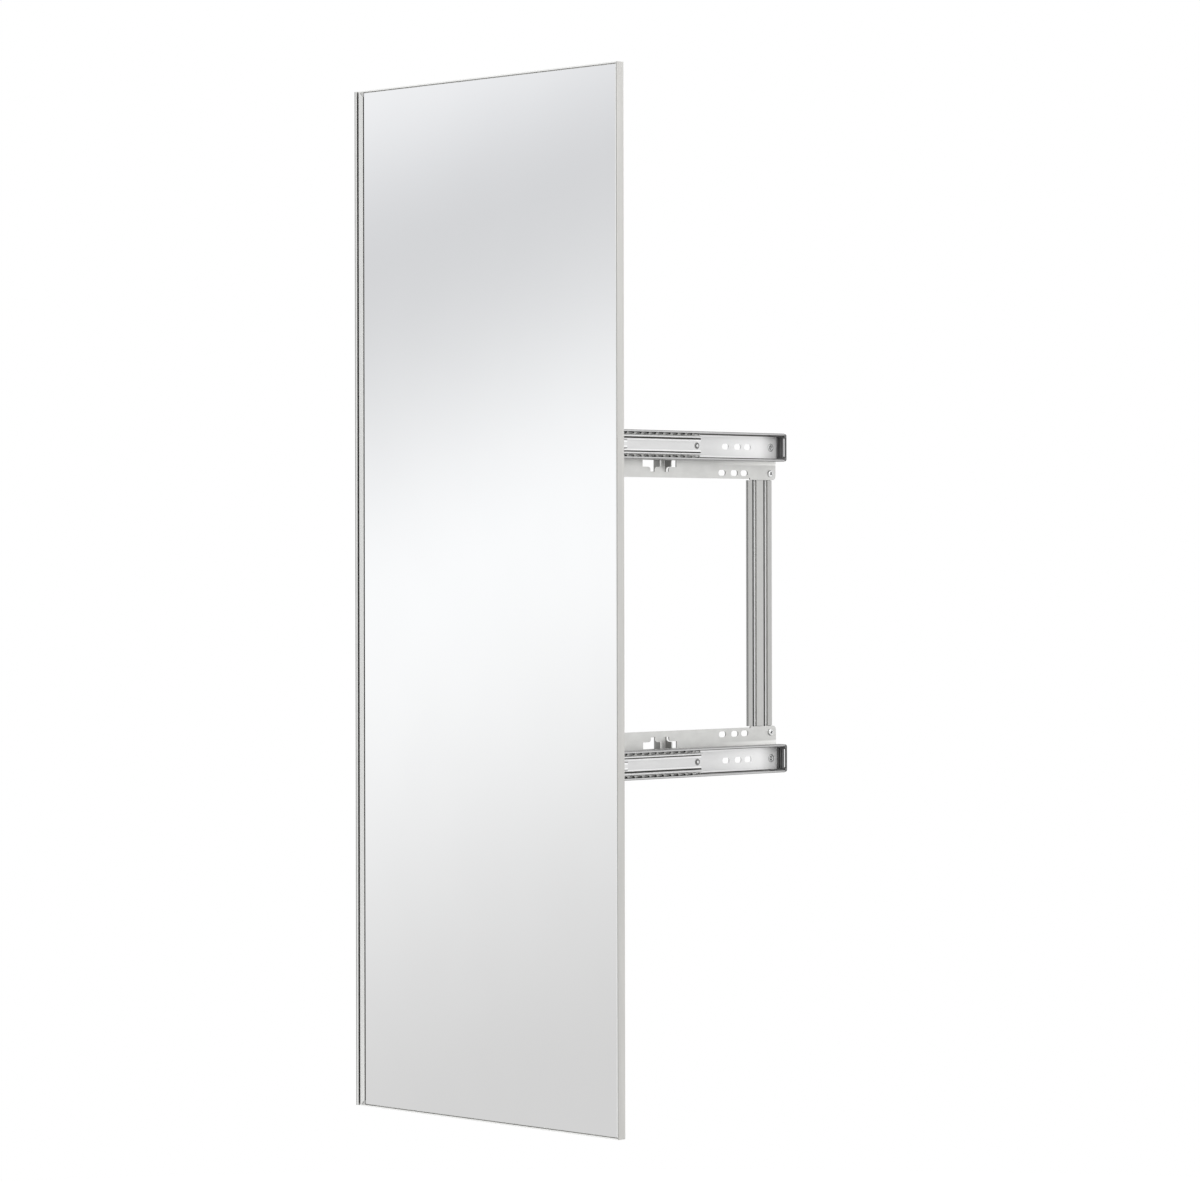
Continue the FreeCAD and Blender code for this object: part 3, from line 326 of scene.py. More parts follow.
def satin_anodised(name, colour, front, drawn, line, rim=None):
    """Extruded aluminium, satin anodised: an even pale grey, matt under its clear oxide, with fine
    lines along the bar and a front painted in its own tone, lighter as painted light or darker as
    painted shade. A rim is the outer edge of the handle, whose round and groove get painted shade."""
    material, tree = blank(name)
    lines = die_lines(tree, drawn, line)
    etch = grain(tree, (0.35, 0.35, 0.35))
    cloud = grain(tree, [90.0 if axis == drawn else 6.0 for axis in "xyz"], detail=1.0)
    forward = facing(tree, (0.0, -1.0, 0.0))
    # The front faces are painted in their own tone, lighter as painted light on the handle and
    # bars, darker as painted shade on the side profile.
    base = coats(tree, colour, (forward, front))
    worn = coats(tree, toned(colour, 0.86), (forward, toned(front, 0.93)))
    halves = [add(tree, "MapRange", (pattern, *NOISE_LEVELS, 0.0, 0.5))[0]
              for pattern in (cloud, lines)]
    tint = coats(tree, base, (add(tree, "Math", halves, operation="ADD")[0], worn))
    if rim is not None:
        edge = band(tree, away_from(tree, along(tree, "x"), rim), -1.0, 1.2)
        # Painted shade in the handle's corners and on the round of its rim.
        tint = coats(tree, tint, (crevice(tree, 4.0, 0.25, 0.75), toned(colour, 0.2)),
                     (edge, toned(front, 0.4)))
    shade(tree, tint, (lines, 0.36, 0.5), ((etch, 0.01, 0.35), (lines, 0.02, 0.5)), Metallic=0.8)
    return material


def mill_aluminium(colour, line):
    """Extruded aluminium as it left the die: bright along its middle and darker towards its edges,
    with shade painted on the faces that look towards -Y and, deeper, down its near side, a painted
    highlight on the ledges in its grooves and painted shade, nearly black, in the slots along
    them."""
    material, tree = blank("Mill-finish extruded aluminium")
    low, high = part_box("rear_upright")
    lines = die_lines(tree, "z", line)
    cloud = grain(tree, (5.0, 5.0, 70.0), detail=1.0)
    across, over = along(tree, "y"), along(tree, "x")
    from_middle = away_from(tree, across, (low.y + high.y) / 2)
    lands = (from_middle, 1.0, *[place * MM for place in UPRIGHT_LANDS])
    near_side = band(tree, across, low.y / MM - 1.0, low.y / MM + 0.3, 0.1)
    ledge = band(tree, over, *UPRIGHT_LEDGES, 0.05)
    tint = coats(tree, colour, ((cloud, 0.5), toned(colour, 0.92)), (lands, toned(colour, 0.84)),
                 ((lines, 0.6), toned(colour, 0.8)),
                 # Painted shade on the faces that look towards -Y, deeper on the near side.
                 (facing(tree, (0.0, -1.0, 0.0)), toned(colour, 0.9)),
                 (near_side, toned(colour, 0.45)),
                 # Painted shade, nearly black, in the slots, and a painted highlight on the
                 # ledges.
                 (band(tree, over, *UPRIGHT_SLOTS), toned(colour, 0.12)),
                 (ledge, toned(colour, 1.7)))
    shine = add(tree, "MapRange", (ledge, 0.0, 1.0, 0.9, 0.1))[0]
    shade(tree, tint, (lines, 0.34, 0.5), ((lines, 0.025, 0.6),), Metallic=shine)
    return material


def zinc_plated_sheet(colour):
    """Cold-rolled steel sheet, bright zinc-plated: pale, faintly clouded, with the mill's rolling
    grain along Y, painted light on the strip beside the rail's rear half, painted shade on the
    faces that look towards -Y, and painted shade in corners and where two sheets meet."""
    material, tree = blank("Bright zinc-plated rolled sheet")
    rolling = grain(tree, (0.5, 24.0, 0.5), detail=3.0)
    cloud = grain(tree, (9.0, 14.0, 9.0))
    strip = band(tree, from_slide_middle(tree), *STRIP_BY_RAIL, 1.0)
    # Light is painted on the strip beside the rail's rear half.
    painted_light_band = add(tree, "Math", (painted_light_toward_rear(tree), strip), operation="MULTIPLY")[0]
    # Shade is painted on the faces that look towards -Y, such as the ears.
    painted_shade_side = facing(tree, (0.0, -1.0, 0.0))
    tint = coats(tree, colour, ((cloud, 0.7), toned(colour, 0.9)), (painted_light_band, toned(colour, 1.42)),
                 (painted_shade_side, toned(colour, 0.5)),
                 # Painted shade in corners and where two sheets meet.
                 (crevice(tree, 1.4, 0.2, 0.7), toned(colour, 0.35)))
    shade(tree, tint, (rolling, 0.46, 0.6), ((rolling, 0.015, 0.5),), Metallic=0.8)
    return material


def roll_formed_rail(name, colour, painted_light_tone, grease_and_shade, shade_line):
    """Roll-formed slide steel, bright zinc-plated: paler and smoother than the sheet, streaked
    along its length by the rolls, with a hard dark line of painted shade inside each bend, painted
    shade in its corners and a painted highlight beside each line. Light is painted on more and
    more towards the rear, where the plating turns frosted, and the rolled lips are painted darker
    than the web as shade, their edges darker still."""
    material, tree = blank(name)
    streak = grain(tree, (0.4, 60.0, 0.4), detail=3.0)
    cloud = grain(tree, (7.0, 30.0, 7.0), detail=1.5)
    height = from_slide_middle(tree)
    # A highlight is painted on the strip beside each line of shade.
    painted_light_band = band(tree, height, shade_line[0] - HIGHLIGHT_BY_SHADE_LINE, shade_line[0])
    # Light is painted on more and more towards the rear.
    tint = coats(tree, colour, ((cloud, 0.6), toned(colour, 0.93)), (painted_light_toward_rear(tree), painted_light_tone),
                 # A painted highlight beside each line of shade, and painted shade on the lips
                 # and, deeper, on their edges.
                 (painted_light_band, painted_light_tone), (band(tree, height, *OUTER_LIPS), toned(colour, 0.76)),
                 (band(tree, height, *LIP_EDGES), toned(colour, 0.42)),
                 # Painted shade in corners and as a hard line inside each bend.
                 (crevice(tree, 1.2, 0.2, 0.6), grease_and_shade), (band(tree, height, *shade_line), grease_and_shade))
    shine = add(tree, "MapRange", (along(tree, "y"), *TURNS_FROSTED, 0.85, 0.15))[0]
    shade(tree, tint, (streak, 0.4, 0.52), ((streak, 0.012, 0.4),), Metallic=shine)
    return material


def pressed_cage(colour, grease_and_shade):
    """Pressed steel strip, zinc-plated and greased: teeth in a plating colour darkened as painted
    shade, greasy smears on them, painted shade on every face that doesn't look out along +X, and a
    softer shine than the rails."""
    material, tree = blank("Greased pressed steel cage")
    smear = grain(tree, (2.5, 3.5, 2.5))
    fine = grain(tree, (0.5, 0.5, 0.5))
    outward = facing(tree, (1.0, 0.0, 0.0))
    painted_shade_away = add(tree, "Math", (1.0, outward), operation="SUBTRACT")[0]
    # Painted shade on every face that doesn't look out along +X.
    tint = coats(tree, colour, ((smear, 0.3, 0.45, 0.75), grease_and_shade), (painted_shade_away, grease_and_shade))
    shade(tree, tint, (smear, 0.45, 0.25), ((fine, 0.02, 0.4),), Metallic=1.0)
    return material


def bearing_steel(colour, grease_and_shade):
    """Hardened and polished bearing balls: near mirror-bright, with a thin greasy film."""
    material, tree = blank("Polished bearing steel")
    film = grain(tree, (1.4, 1.4, 1.4), detail=1.0)
    tint = coats(tree, colour, ((film, 0.5, 0.5, 0.7), grease_and_shade))
    shade(tree, tint, (film, 0.06, 0.22), Metallic=1.0)
    return material


def turned_steel(name, colour, roughness):
    """Small headed steel parts, zinc-plated: bright, with a faint mottle from the plating barrel
    and soft shade painted into the corners of their recesses."""
    material, tree = blank(name)
    mottle = grain(tree, (0.9, 0.9, 0.9), detail=3.0)
    tint = coats(tree, colour, ((mottle, 0.5), toned(colour, 0.82)),
                 # Painted shade in the corners of recesses.
                 (crevice(tree, 1.6, 0.3, 0.85), toned(colour, 0.12)))
    shade(tree, tint, (mottle, roughness * 0.8, roughness * 1.3), ((mottle, 0.012, 0.4),),
          Metallic=1.0)
    return material


def moulded_plastic(name, colour, roughness, texture_mm, fade=0.85):
    """Injection-moulded plastic: one dyed colour with a spark-eroded skin that breaks up its
    gloss, and deep shade painted into its grooves. The skin is drawn a little coarser than it is."""
    material, tree = blank(name)
    skin = grain(tree, (texture_mm, texture_mm, texture_mm))
    flow = grain(tree, (9.0, 9.0, 9.0), detail=1.0)
    tint = coats(tree, colour, ((flow, 1.0), toned(colour, fade)),
                 # Painted shade in the grooves.
                 (crevice(tree, 1.5, 0.3, 0.85), toned(colour, 0.2)))
    shade(tree, tint, (skin, roughness * 0.85, roughness * 1.15),
          ((skin, texture_mm * 0.12, 0.5),), IOR=1.5)
    return material


def chromed_tube():
    """Steel tube, bright chromed: a cool, nearly clean reflection with hairline polishing marks
    round it."""
    material, tree = blank("Bright chromed steel")
    marks = grain(tree, (3.0, 3.0, 0.4), detail=3.0)
    tint = coats(tree, linear("DCDEE0"), ((marks, 0.4), linear("C9CCCF")))
    shade(tree, tint, (marks, 0.06, 0.16), ((marks, 0.004, 0.3),), Metallic=1.0)
    return material


def powder_coat():
    """Die-cast zinc, powder-coated: mid grey with the small rolling texture of baked powder."""
    material, tree = blank("Grey powder-coated die-casting")
    peel = grain(tree, (0.9, 0.9, 0.9), detail=1.5)
    speck = grain(tree, (0.3, 0.3, 0.3))
    tint = coats(tree, linear("B4B6B8"), ((speck, 1.0), linear("A6A8AA")))
    shade(tree, tint, (speck, 0.42, 0.55), ((peel, 0.06, 0.6),), IOR=1.5)
    return material


def lacquered_hardboard():
    """Hardboard with a pale lacquer: warm off-white, with pressed wood fibres just showing
    through and a slight roller stipple."""
    material, tree = blank("Hardboard with pale lacquer")
    fibre = grain(tree, (0.9, 0.9, 5.0), detail=4.0)
    chips = grain(tree, (3.0, 0.8, 0.9), detail=3.0, offset=7.0)
    stipple = grain(tree, (0.8, 0.8, 0.8))
    tint = coats(tree, linear("E6E2D9"), ((fibre, 0.7, 0.35, 0.7), linear("DCD6C9")),
                 ((chips, 0.35, 0.56, 0.72), linear("C2B79F")))
    shade(tree, tint, (stipple, 0.45, 0.62), ((stipple, 0.03, 0.4), (fibre, 0.05, 0.5)), IOR=1.5)
    return material


def foam_tape():
    """Closed-cell foam tape: soft white with open cells along its cut edges."""
    material, tree = blank("Closed-cell foam tape")
    place = add(tree, "TexCoord")["Object"]
    cells = add(tree, "TexVoronoi", {"Vector": place, "Scale": 1 / (0.4 * MM)})["Distance"]
    tint = coats(tree, linear("EDEDEB"), ((cells, 1.0, 0.1, 0.6), linear("C9C9C6")))
    shade(tree, tint, (cells, 0.9, 0.7, 0.1, 0.6), ((cells, 0.06, 0.6),), IOR=1.5)
    return material


def silvered_glass(colour):
    """Silvered float glass seen from the front: a clean reflection, with the faintest drift in
    gloss from handling."""
    material, tree = blank("Silvered float glass")
    drift = grain(tree, (60.0, 60.0, 90.0), detail=1.0)
    tint = coats(tree, colour, ((drift, 1.0), toned(colour, 0.992)))
    shade(tree, tint, (drift, 0.0, 0.012), Metallic=1.0)
    return material


def ground_glass(colour):
    """Glass edge ground with a fine wheel: near white and frosted, with short marks along it."""
    material, tree = blank("Ground glass edge")
    marks = grain(tree, (0.5, 0.5, 0.5), detail=3.0)
    tint = coats(tree, colour, ((marks, 1.0), toned(colour, 0.9)))
    shade(tree, tint, (marks, 0.25, 0.4), ((marks, 0.01, 0.4),), Metallic=0.75)
    return material


def backing_paint(colour):
    """Mirror backing paint: grey, matt, with a curtain-coater's long soft ripple."""
    material, tree = blank("Mirror backing paint")
    ripple = grain(tree, (3.0, 3.0, 160.0))
    tint = coats(tree, colour, ((ripple, 1.0), toned(colour, 0.9)))
    shade(tree, tint, (ripple, 0.55, 0.7), ((ripple, 0.02, 0.4),), IOR=1.5)
    return material


# ---- mesh pieces ----


def finish_piece(name, mesh, materials, body, stands_for):
    """Object of a finished bmesh that rides on a body and stands for CAD nodes."""
    for face in mesh.faces:
        face.smooth = True
    for edge in mesh.edges:
        edge.smooth = len(edge.link_faces) == 2 and edge.calc_face_angle(math.pi) < CREASE
    data = bpy.data.meshes.new(name)
    mesh.to_mesh(data)
    mesh.free()
    for material in materials:
        data.materials.append(material)
    piece = bpy.data.objects.new(name, data)
    bpy.context.scene.collection.objects.link(piece)
    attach(piece, body)
    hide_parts(*stands_for)


def solids(node):
    """Lowest and highest corner of every separate solid in a CAD node."""
    mesh = bmesh.new()
    mesh.from_mesh(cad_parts[node].data)
    bmesh.ops.remove_doubles(mesh, verts=mesh.verts, dist=1e-6)
    waiting = set(mesh.verts)
    boxes = []
    while waiting:
        found = [waiting.pop()]
        for vert in found:
            joined = [edge.other_vert(vert) for edge in vert.link_edges]
            fresh = [other for other in joined if other in waiting]
            waiting.difference_update(fresh)
            found.extend(fresh)
        low = Vector(map(min, *(v.co for v in found)))
        high = Vector(map(max, *(v.co for v in found)))
        boxes.append((low, high))
    mesh.free()
    return sorted(boxes, key=lambda pair: tuple(round(c, 5) for c in pair[0]))


def paint_nodes(material, names):
    """Give CAD nodes one material."""
    for name in names:
        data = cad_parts[name].data
        data.materials.clear()
        data.materials.append(material)


def both(name):
    """The upper and the lower node of a kind."""
    return ["upper_" + name, "lower_" + name]


def rounded_loop(low, high, radius):
    """Points (a, b) round a rectangle with rounded corners."""
    steps = 4
    centres = [(high[0] - radius, high[1] - radius), (low[0] + radius, high[1] - radius),
               (low[0] + radius, low[1] + radius), (high[0] - radius, low[1] + radius)]
    points = []
    for quarter, (a, b) in enumerate(centres):
        for step in range(steps + 1):
            turn = math.pi / 2 * (quarter + step / steps)
            points.append((a + radius * math.cos(turn), b + radius * math.sin(turn)))
    return points


def bridge(mesh, first, second, material):
    """Faces between two closed loops of as many vertices."""
    count = len(first)
    for i in range(count):
        follow = (i + 1) % count
        face = mesh.faces.new((first[i], first[follow], second[follow], second[i]))
        face.material_index = material


def mirror_sheet(settings):
    """Sheet with a ground arris round its front and a seamed edge round its back."""
    low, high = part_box("mirror_glass")
    mesh = bmesh.new()
    levels = [(low.y, settings.arris), (low.y + settings.arris, 0.0),
              (high.y - settings.back_arris, 0.0), (high.y, settings.back_arris)]
    loops = []
    for y, inset in levels:
        radius = max(settings.corner - inset, 0.1 * MM)
        points = rounded_loop((low.x + inset, low.z + inset), (high.x - inset, high.z - inset),
                              radius)
        loops.append([mesh.verts.new((a, y, b)) for a, b in points])
    for first, second in zip(loops, loops[1:]):
        bridge(mesh, first, second, 1)
    mesh.faces.new(loops[0]).material_index = 0
    mesh.faces.new(loops[-1]).material_index = 2
    bmesh.ops.recalc_face_normals(mesh, faces=mesh.faces)
    return mesh


def place_on(centre, axis, level, a, b):
    """Point at a level along an axis and (a, b) across it, from a centre."""
    across = [i for i in range(3) if i != axis]
    place = Vector(centre)
    place[axis] += level
    place[across[0]] += a
    place[across[1]] += b
    return place


def turned(mesh, centre, axis, profile, in_shade=()):
    """Rings of a piece turned to a profile of (level, radius) pairs, with faces between them. The
    steps of the profile that lie in shade get the second material, a darker one that paints that
    shade."""
    turns = [2 * math.pi * i / ROUND_STEPS for i in range(ROUND_STEPS)]
    rings = []
    for level, radius in profile:
        points = [(radius * math.cos(turn), radius * math.sin(turn)) for turn in turns]
        rings.append([mesh.verts.new(place_on(centre, axis, level, a, b)) for a, b in points])
    for step, (first, second) in enumerate(zip(rings, rings[1:])):
        bridge(mesh, first, second, int(step in in_shade))
    return rings


def headed(low, high, axis, head):
    """Radius, centre under the head and level of the tail of a headed solid in its box."""
    across = (axis + 1) % 3
    seat = (low + high) / 2
    seat[axis] = high[axis] - head
    return (high[across] - low[across]) / 2, seat, low[axis] - seat[axis]


def dome(height, radius, rise, top):
    """Profile of a low dome from its seat at 0 to its flat top, as (level, radius) pairs."""
    points = [(0.0, radius * 0.97), (height * 0.05, radius)]
    for step in range(7):
        share = math.pi / 12 * step
        level = rise + (1 - rise) * math.sin(share)
        points.append((height * level, radius * (1 - (1 - top) * (1 - math.cos(share)))))
    return points


def cross_points(reach, half, turn):
    """Twelve corners of a cross, anticlockwise from one arm."""
    points = []
    for quarter in range(4):
        spin = Matrix.Rotation(turn + math.pi / 2 * quarter, 2)
        points += [spin @ Vector(p) for p in ((reach, -half), (reach, half), (half, half))]
    return points


def pan_screw(mesh, low, high, axis, head, turn):
    """Pan-head screw in the box of its CAD solid: domed head with a tapered cross recess, and a
    shank with a rolled thread and a chamfered tip."""
    radius, seat, tail = headed(low, high, axis, head)
    shank_r = radius * 0.56
    level = tail + THREAD_PITCH * 0.6
    profile = [(tail, shank_r * 0.6), (level, shank_r * 0.96)]
    while level + THREAD_PITCH < -0.2 * MM:
        profile += [(level + THREAD_PITCH * 0.5, shank_r * 0.8),
                    (level + THREAD_PITCH, shank_r * 0.97)]
        level += THREAD_PITCH
    profile += [(-0.1 * MM, shank_r), (0.0, shank_r)] + dome(head, radius, rise=0.3, top=0.64)
    rings = turned(mesh, seat, axis, profile)
    mesh.faces.new(list(reversed(rings[0])))
    loops = []
    for level, reach, half in ((head, 0.58, 0.13), (head * 0.35, 0.34, 0.1)):
        corners = cross_points(radius * reach, radius * half, turn)
        loops.append([mesh.verts.new(place_on(seat, axis, level, *corner)) for corner in corners])
    mouth, pit = loops
    # The cross recess takes the second material, as painted shade.
    bridge(mesh, mouth, pit, 1)
    tip = mesh.verts.new(place_on(seat, axis, head * 0.2, 0, 0))
    for i, vert in enumerate(pit):
        mesh.faces.new((vert, pit[(i + 1) % len(pit)], tip)).material_index = 1
    rims = []
    for loop in (rings[-1], mouth):
        for i, vert in enumerate(loop):
            other = loop[(i + 1) % len(loop)]
            rims.append(mesh.edges.get((vert, other)) or mesh.edges.new((vert, other)))
    bmesh.ops.triangle_fill(mesh, edges=rims, use_beauty=True)


def solid_rivet(mesh, low, high, axis, head, shank_r, flare):
    """Rivet in the box of its CAD solid, with a domed head at the high end and a spread tail."""
    radius, seat, tail = headed(low, high, axis, head)
    profile = [(tail, shank_r * 0.5), (tail + 0.1 * MM, shank_r + flare * 0.8),
               (tail + 0.25 * MM, shank_r + flare), (tail + 0.4 * MM, shank_r),
               (-0.05 * MM, shank_r), (0.0, shank_r)]
    rings = turned(mesh, seat, axis, profile + dome(head, radius, rise=0.25, top=0.5))
    mesh.faces.new(list(reversed(rings[0])))
    mesh.faces.new(rings[-1])


def spun_rivet(mesh, low, high, axis, head, shank_r):
    """Rivet in the box of its CAD solid, closed by spinning: its head keeps a rim and a button
    with a groove between them; the rim's sides and the groove take the darker material as painted
    shade."""
    radius, seat, tail = headed(low, high, axis, head)
    profile = [(tail, shank_r * 0.6), (tail + 0.1 * MM, shank_r), (0.0, shank_r),
               (0.0, radius * 0.97), (head * 0.2, radius), (head * 0.55, radius * 0.94),
               (head * 0.5, radius * 0.85), (head * 0.25, radius * 0.76),
               (head * 0.25, radius * 0.56), (head * 0.8, radius * 0.46), (head, radius * 0.32)]
    rings = turned(mesh, seat, axis, profile, in_shade=(3, 4, 6, 7, 8))
    mesh.faces.new(list(reversed(rings[0])))
    mesh.faces.new(rings[-1])


def tube_rivet(mesh, low, high, axis, bore_r, shank_r, head):
    """Tubular rivet in the box of its CAD solid: a rolled ring head round an open bore, and a
    tail that is spread behind the sheet."""
    radius, seat, tail = headed(low, high, axis, head)
    profile = [(tail, bore_r + 0.3 * MM), (tail + 0.15 * MM, shank_r + 0.65 * MM),
               (tail + 0.5 * MM, shank_r + 0.5 * MM), (tail + 0.8 * MM, shank_r),
               (0.0, shank_r), (0.0, radius * 0.98), (head * 0.3, radius),
               (head * 0.75, radius * 0.93), (head, radius * 0.82), (head, radius * 0.58),
               (head * 0.6, radius * 0.46), (head * 0.2, bore_r + 0.25 * MM),
               (-0.3 * MM, bore_r)]
    # The head's lower sides and the mouth of the bore take the darker material as painted shade.
    rings = turned(mesh, seat, axis, profile, in_shade=(5, 6, 10, 11))
    bridge(mesh, rings[-1], rings[0], 0)


def rivets_piece(name, node, make, materials, body, **sizes):
    """All the solids of one CAD node, each made again as a turned rivet along X."""
    mesh = bmesh.new()
    for low, high in solids(node):
        make(mesh, low, high, 0, **sizes)
    bmesh.ops.recalc_face_normals(mesh, faces=mesh.faces)
    finish_piece(name, mesh, materials, body, [node])


def screws_piece(name, axis, head, materials, body):
    """All the screws of one CAD node as one piece, each left at another turn."""
    mesh = bmesh.new()
    for i, (low, high) in enumerate(solids(name)):
        pan_screw(mesh, low, high, axis, head, 0.5 + 1.9 * i)
    bmesh.ops.recalc_face_normals(mesh, faces=mesh.faces)
    finish_piece(name + "_headed", mesh, materials, body, [name])


# ---- operators ----


class CLOSET_OT_mirror_sheet(bpy.types.Operator):
    """Build the silvered sheet with its ground arris"""

    bl_idname = "closet_mirror.mirror_sheet"
    bl_label = "Mirror sheet"

    def execute(self, context):
        settings = context.scene.closet_mirror_sheet
        materials = [silvered_glass(settings.silver), ground_glass(settings.ground_glass),
                     backing_paint(settings.backing_paint)]
        finish_piece("mirror_sheet", mirror_sheet(settings), materials, "mirror",
                     ["mirror_glass"])
        return {"FINISHED"}


class CLOSET_OT_mirror_frame(bpy.types.Operator):
    """Finish the profiles round the mirror, their corner inserts and the parts behind the sheet"""

    bl_idname = "closet_mirror.mirror_frame"
    bl_label = "Mirror frame"

    def execute(self, context):
        settings = context.scene.closet_mirror_aluminium
        bar = settings.anodised
        front_painted_light = settings.front_painted_light
        line = settings.die_line
        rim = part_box("handle_profile")[0].x
        # The fronts: painted lighter as light on the handle and the bars, darker as shade on the
        # side profile.
        paint_nodes(satin_anodised("Satin anodised aluminium, front painted lighter", bar, front_painted_light, "z",
                                   line, rim), ["handle_profile"])
        paint_nodes(satin_anodised("Satin anodised aluminium, front painted darker", bar, toned(bar, 0.7),
                                   "z", line), ["side_profile"])
        paint_nodes(satin_anodised("Satin anodised aluminium, lines level", bar,
                                   toned(front_painted_light, 1.12), "x", line),
                    ["top_profile", "bottom_profile"])
        paint_nodes(moulded_plastic("Light grey moulded plastic", linear("DCDCDA"), 0.42, 0.5,
                                    fade=0.95), ["handle_corner_inserts"])
        paint_nodes(lacquered_hardboard(), ["backing_board"])
        paint_nodes(foam_tape(), ["mounting_tape"])
        paint_nodes(turned_steel("Zinc-plated pressed steel", linear("C4C5C4"), 0.36),
                    ["corner_keys", "tee_nuts"])
        return {"FINISHED"}


class CLOSET_OT_plates(bpy.types.Operator):
    """Finish the mounting plates, pivot brackets and the upright between the plates"""

    bl_idname = "closet_mirror.plates"
    bl_label = "Plates and upright"

    def execute(self, context):
        sheet = zinc_plated_sheet(context.scene.closet_mirror_slides.zinc)
        paint_nodes(sheet, both("mounting_plate") + both("pivot_bracket"))
        aluminium = context.scene.closet_mirror_aluminium
        paint_nodes(mill_aluminium(aluminium.upright, aluminium.die_line), ["rear_upright"])
        return {"FINISHED"}


class CLOSET_OT_slides(bpy.types.Operator):
    """Finish the rails, cages, balls, rivets and end buffers of both slides"""

    bl_idname = "closet_mirror.slides"
    bl_label = "Ball slides"

    def execute(self, context):
        settings = context.scene.closet_mirror_slides
        grease_and_shade = settings.grease_and_shade
        # Each kind of rail, with the heights of the line of shade painted inside its bends.
        for kind, shade_line in (("outer_rail", OUTER_SHADE_LINE), ("middle_rail", MIDDLE_SHADE_LINE),
                            ("inner_rail", INNER_SHADE_LINE)):
            title = "Bright zinc-plated " + kind.replace("_", " ")
            paint_nodes(roll_formed_rail(title, settings.rail, settings.rail_painted_light, grease_and_shade, shade_line),
                        both(kind))
        paint_nodes(pressed_cage(settings.cage, grease_and_shade),
                    both("outer_ball_cages") + both("inner_ball_cages"))
        paint_nodes(bearing_steel(linear("E2E3E4"), grease_and_shade),
                    both("outer_balls") + both("inner_balls"))
        paint_nodes(moulded_plastic("Black moulded plastic", settings.buffer, 0.38, 0.4),
                    both("end_buffer"))
        # The second, darker steel is painted shade in the rivets' grooves and on their sides.
        rivet = [turned_steel("Zinc-plated headed rivet", linear("D5D6D6"), 0.3),
                 turned_steel("Rivet groove and sides, painted shade", linear("6A6A69"), 0.4)]
        rivets_piece("rail_rivets_rolled", "rail_rivets", tube_rivet, rivet, "wall_frame",
                     bore_r=1.2 * MM, shank_r=2.5 * MM, head=0.4 * MM)
        rivets_piece("middle_rail_rivets_spun", "middle_rail_rivets", spun_rivet, rivet,
                     "middle_rails", head=0.8 * MM, shank_r=2.0 * MM)
        rivets_piece("bracket_rivets_domed", "bracket_rivets", solid_rivet, rivet, "carriage",
                     head=1.2 * MM, shank_r=2.0 * MM, flare=0.7 * MM)
        return {"FINISHED"}


class CLOSET_OT_swivel(bpy.types.Operator):
    """Finish the pivot tube, its collars and the swivel brackets"""

    bl_idname = "closet_mirror.swivel"
    bl_label = "Swivel"

    def execute(self, context):
        paint_nodes(chromed_tube(), ["pivot_tube", "stop_pin"])
        paint_nodes(powder_coat(), ["stop_collar", "support_collar"] + both("swivel_bracket"))
        bush = moulded_plastic("White moulded bush plastic", linear("EDECE6"), 0.3, 0.6, fade=0.96)
        paint_nodes(bush, ["swivel_bushes", "tube_end_plugs"])
        return {"FINISHED"}


class CLOSET_OT_screws(bpy.types.Operator):
    """Build the cross-recess screws and finish the hexagon-socket ones"""

    bl_idname = "closet_mirror.screws"
    bl_label = "Screws"

    def execute(self, context):
        steel = turned_steel("Zinc-plated machine screw", linear("ECEDED"), 0.3)
        # A darker steel painted into the cross recesses as shade.
        recess = turned_steel("Cross recess, painted shade", linear("3A3A3A"), 0.45)
        screws_piece("upright_screws", 0, 1.9 * MM, [steel, recess], "wall_frame")
        screws_piece("swivel_bracket_screws", 1, 2.4 * MM, [steel, recess], "mirror")
        screws_piece("corner_key_screws", 1, 1.3 * MM, [steel, recess], "mirror")
        paint_nodes(steel, ["tube_end_screws", "collar_set_screws"])
        return {"FINISHED"}


class CLOSET_OT_studio(bpy.types.Operator):
    """Set up the floor, lamps, surroundings and camera"""

    bl_idname = "closet_mirror.studio"
    bl_label = "Studio"

    def execute(self, context):
        settings = context.scene.closet_mirror_studio
        floor(settings)
        surroundings(context.scene, settings)
        lamps(settings)
        camera(context.scene, settings)
        context.scene.view_settings.view_transform = "Standard"
        return {"FINISHED"}


# ---- studio ----


def floor(settings):
    """Pale paper floor: it looks white where it is lit and keeps the object's soft shadow."""
    mesh = bmesh.new()
    count = 96
    radius = settings.floor_radius
    turns = [2 * math.pi * i / count for i in range(count)]
    outer, inner = [[mesh.verts.new((reach * math.cos(turn), reach * math.sin(turn),
                                     settings.floor_drop)) for turn in turns]
                    for reach in (radius, radius * 0.5)]
    bridge(mesh, outer, inner, 0)
    mesh.faces.new(inner)
    bmesh.ops.recalc_face_normals(mesh, faces=mesh.faces)
    data = bpy.data.meshes.new("studio_floor")
    mesh.to_mesh(data)
    mesh.free()
    data.materials.append(backdrop_paper(radius))
    ground = bpy.data.objects.new("studio_floor", data)
    bpy.context.scene.collection.objects.link(ground)


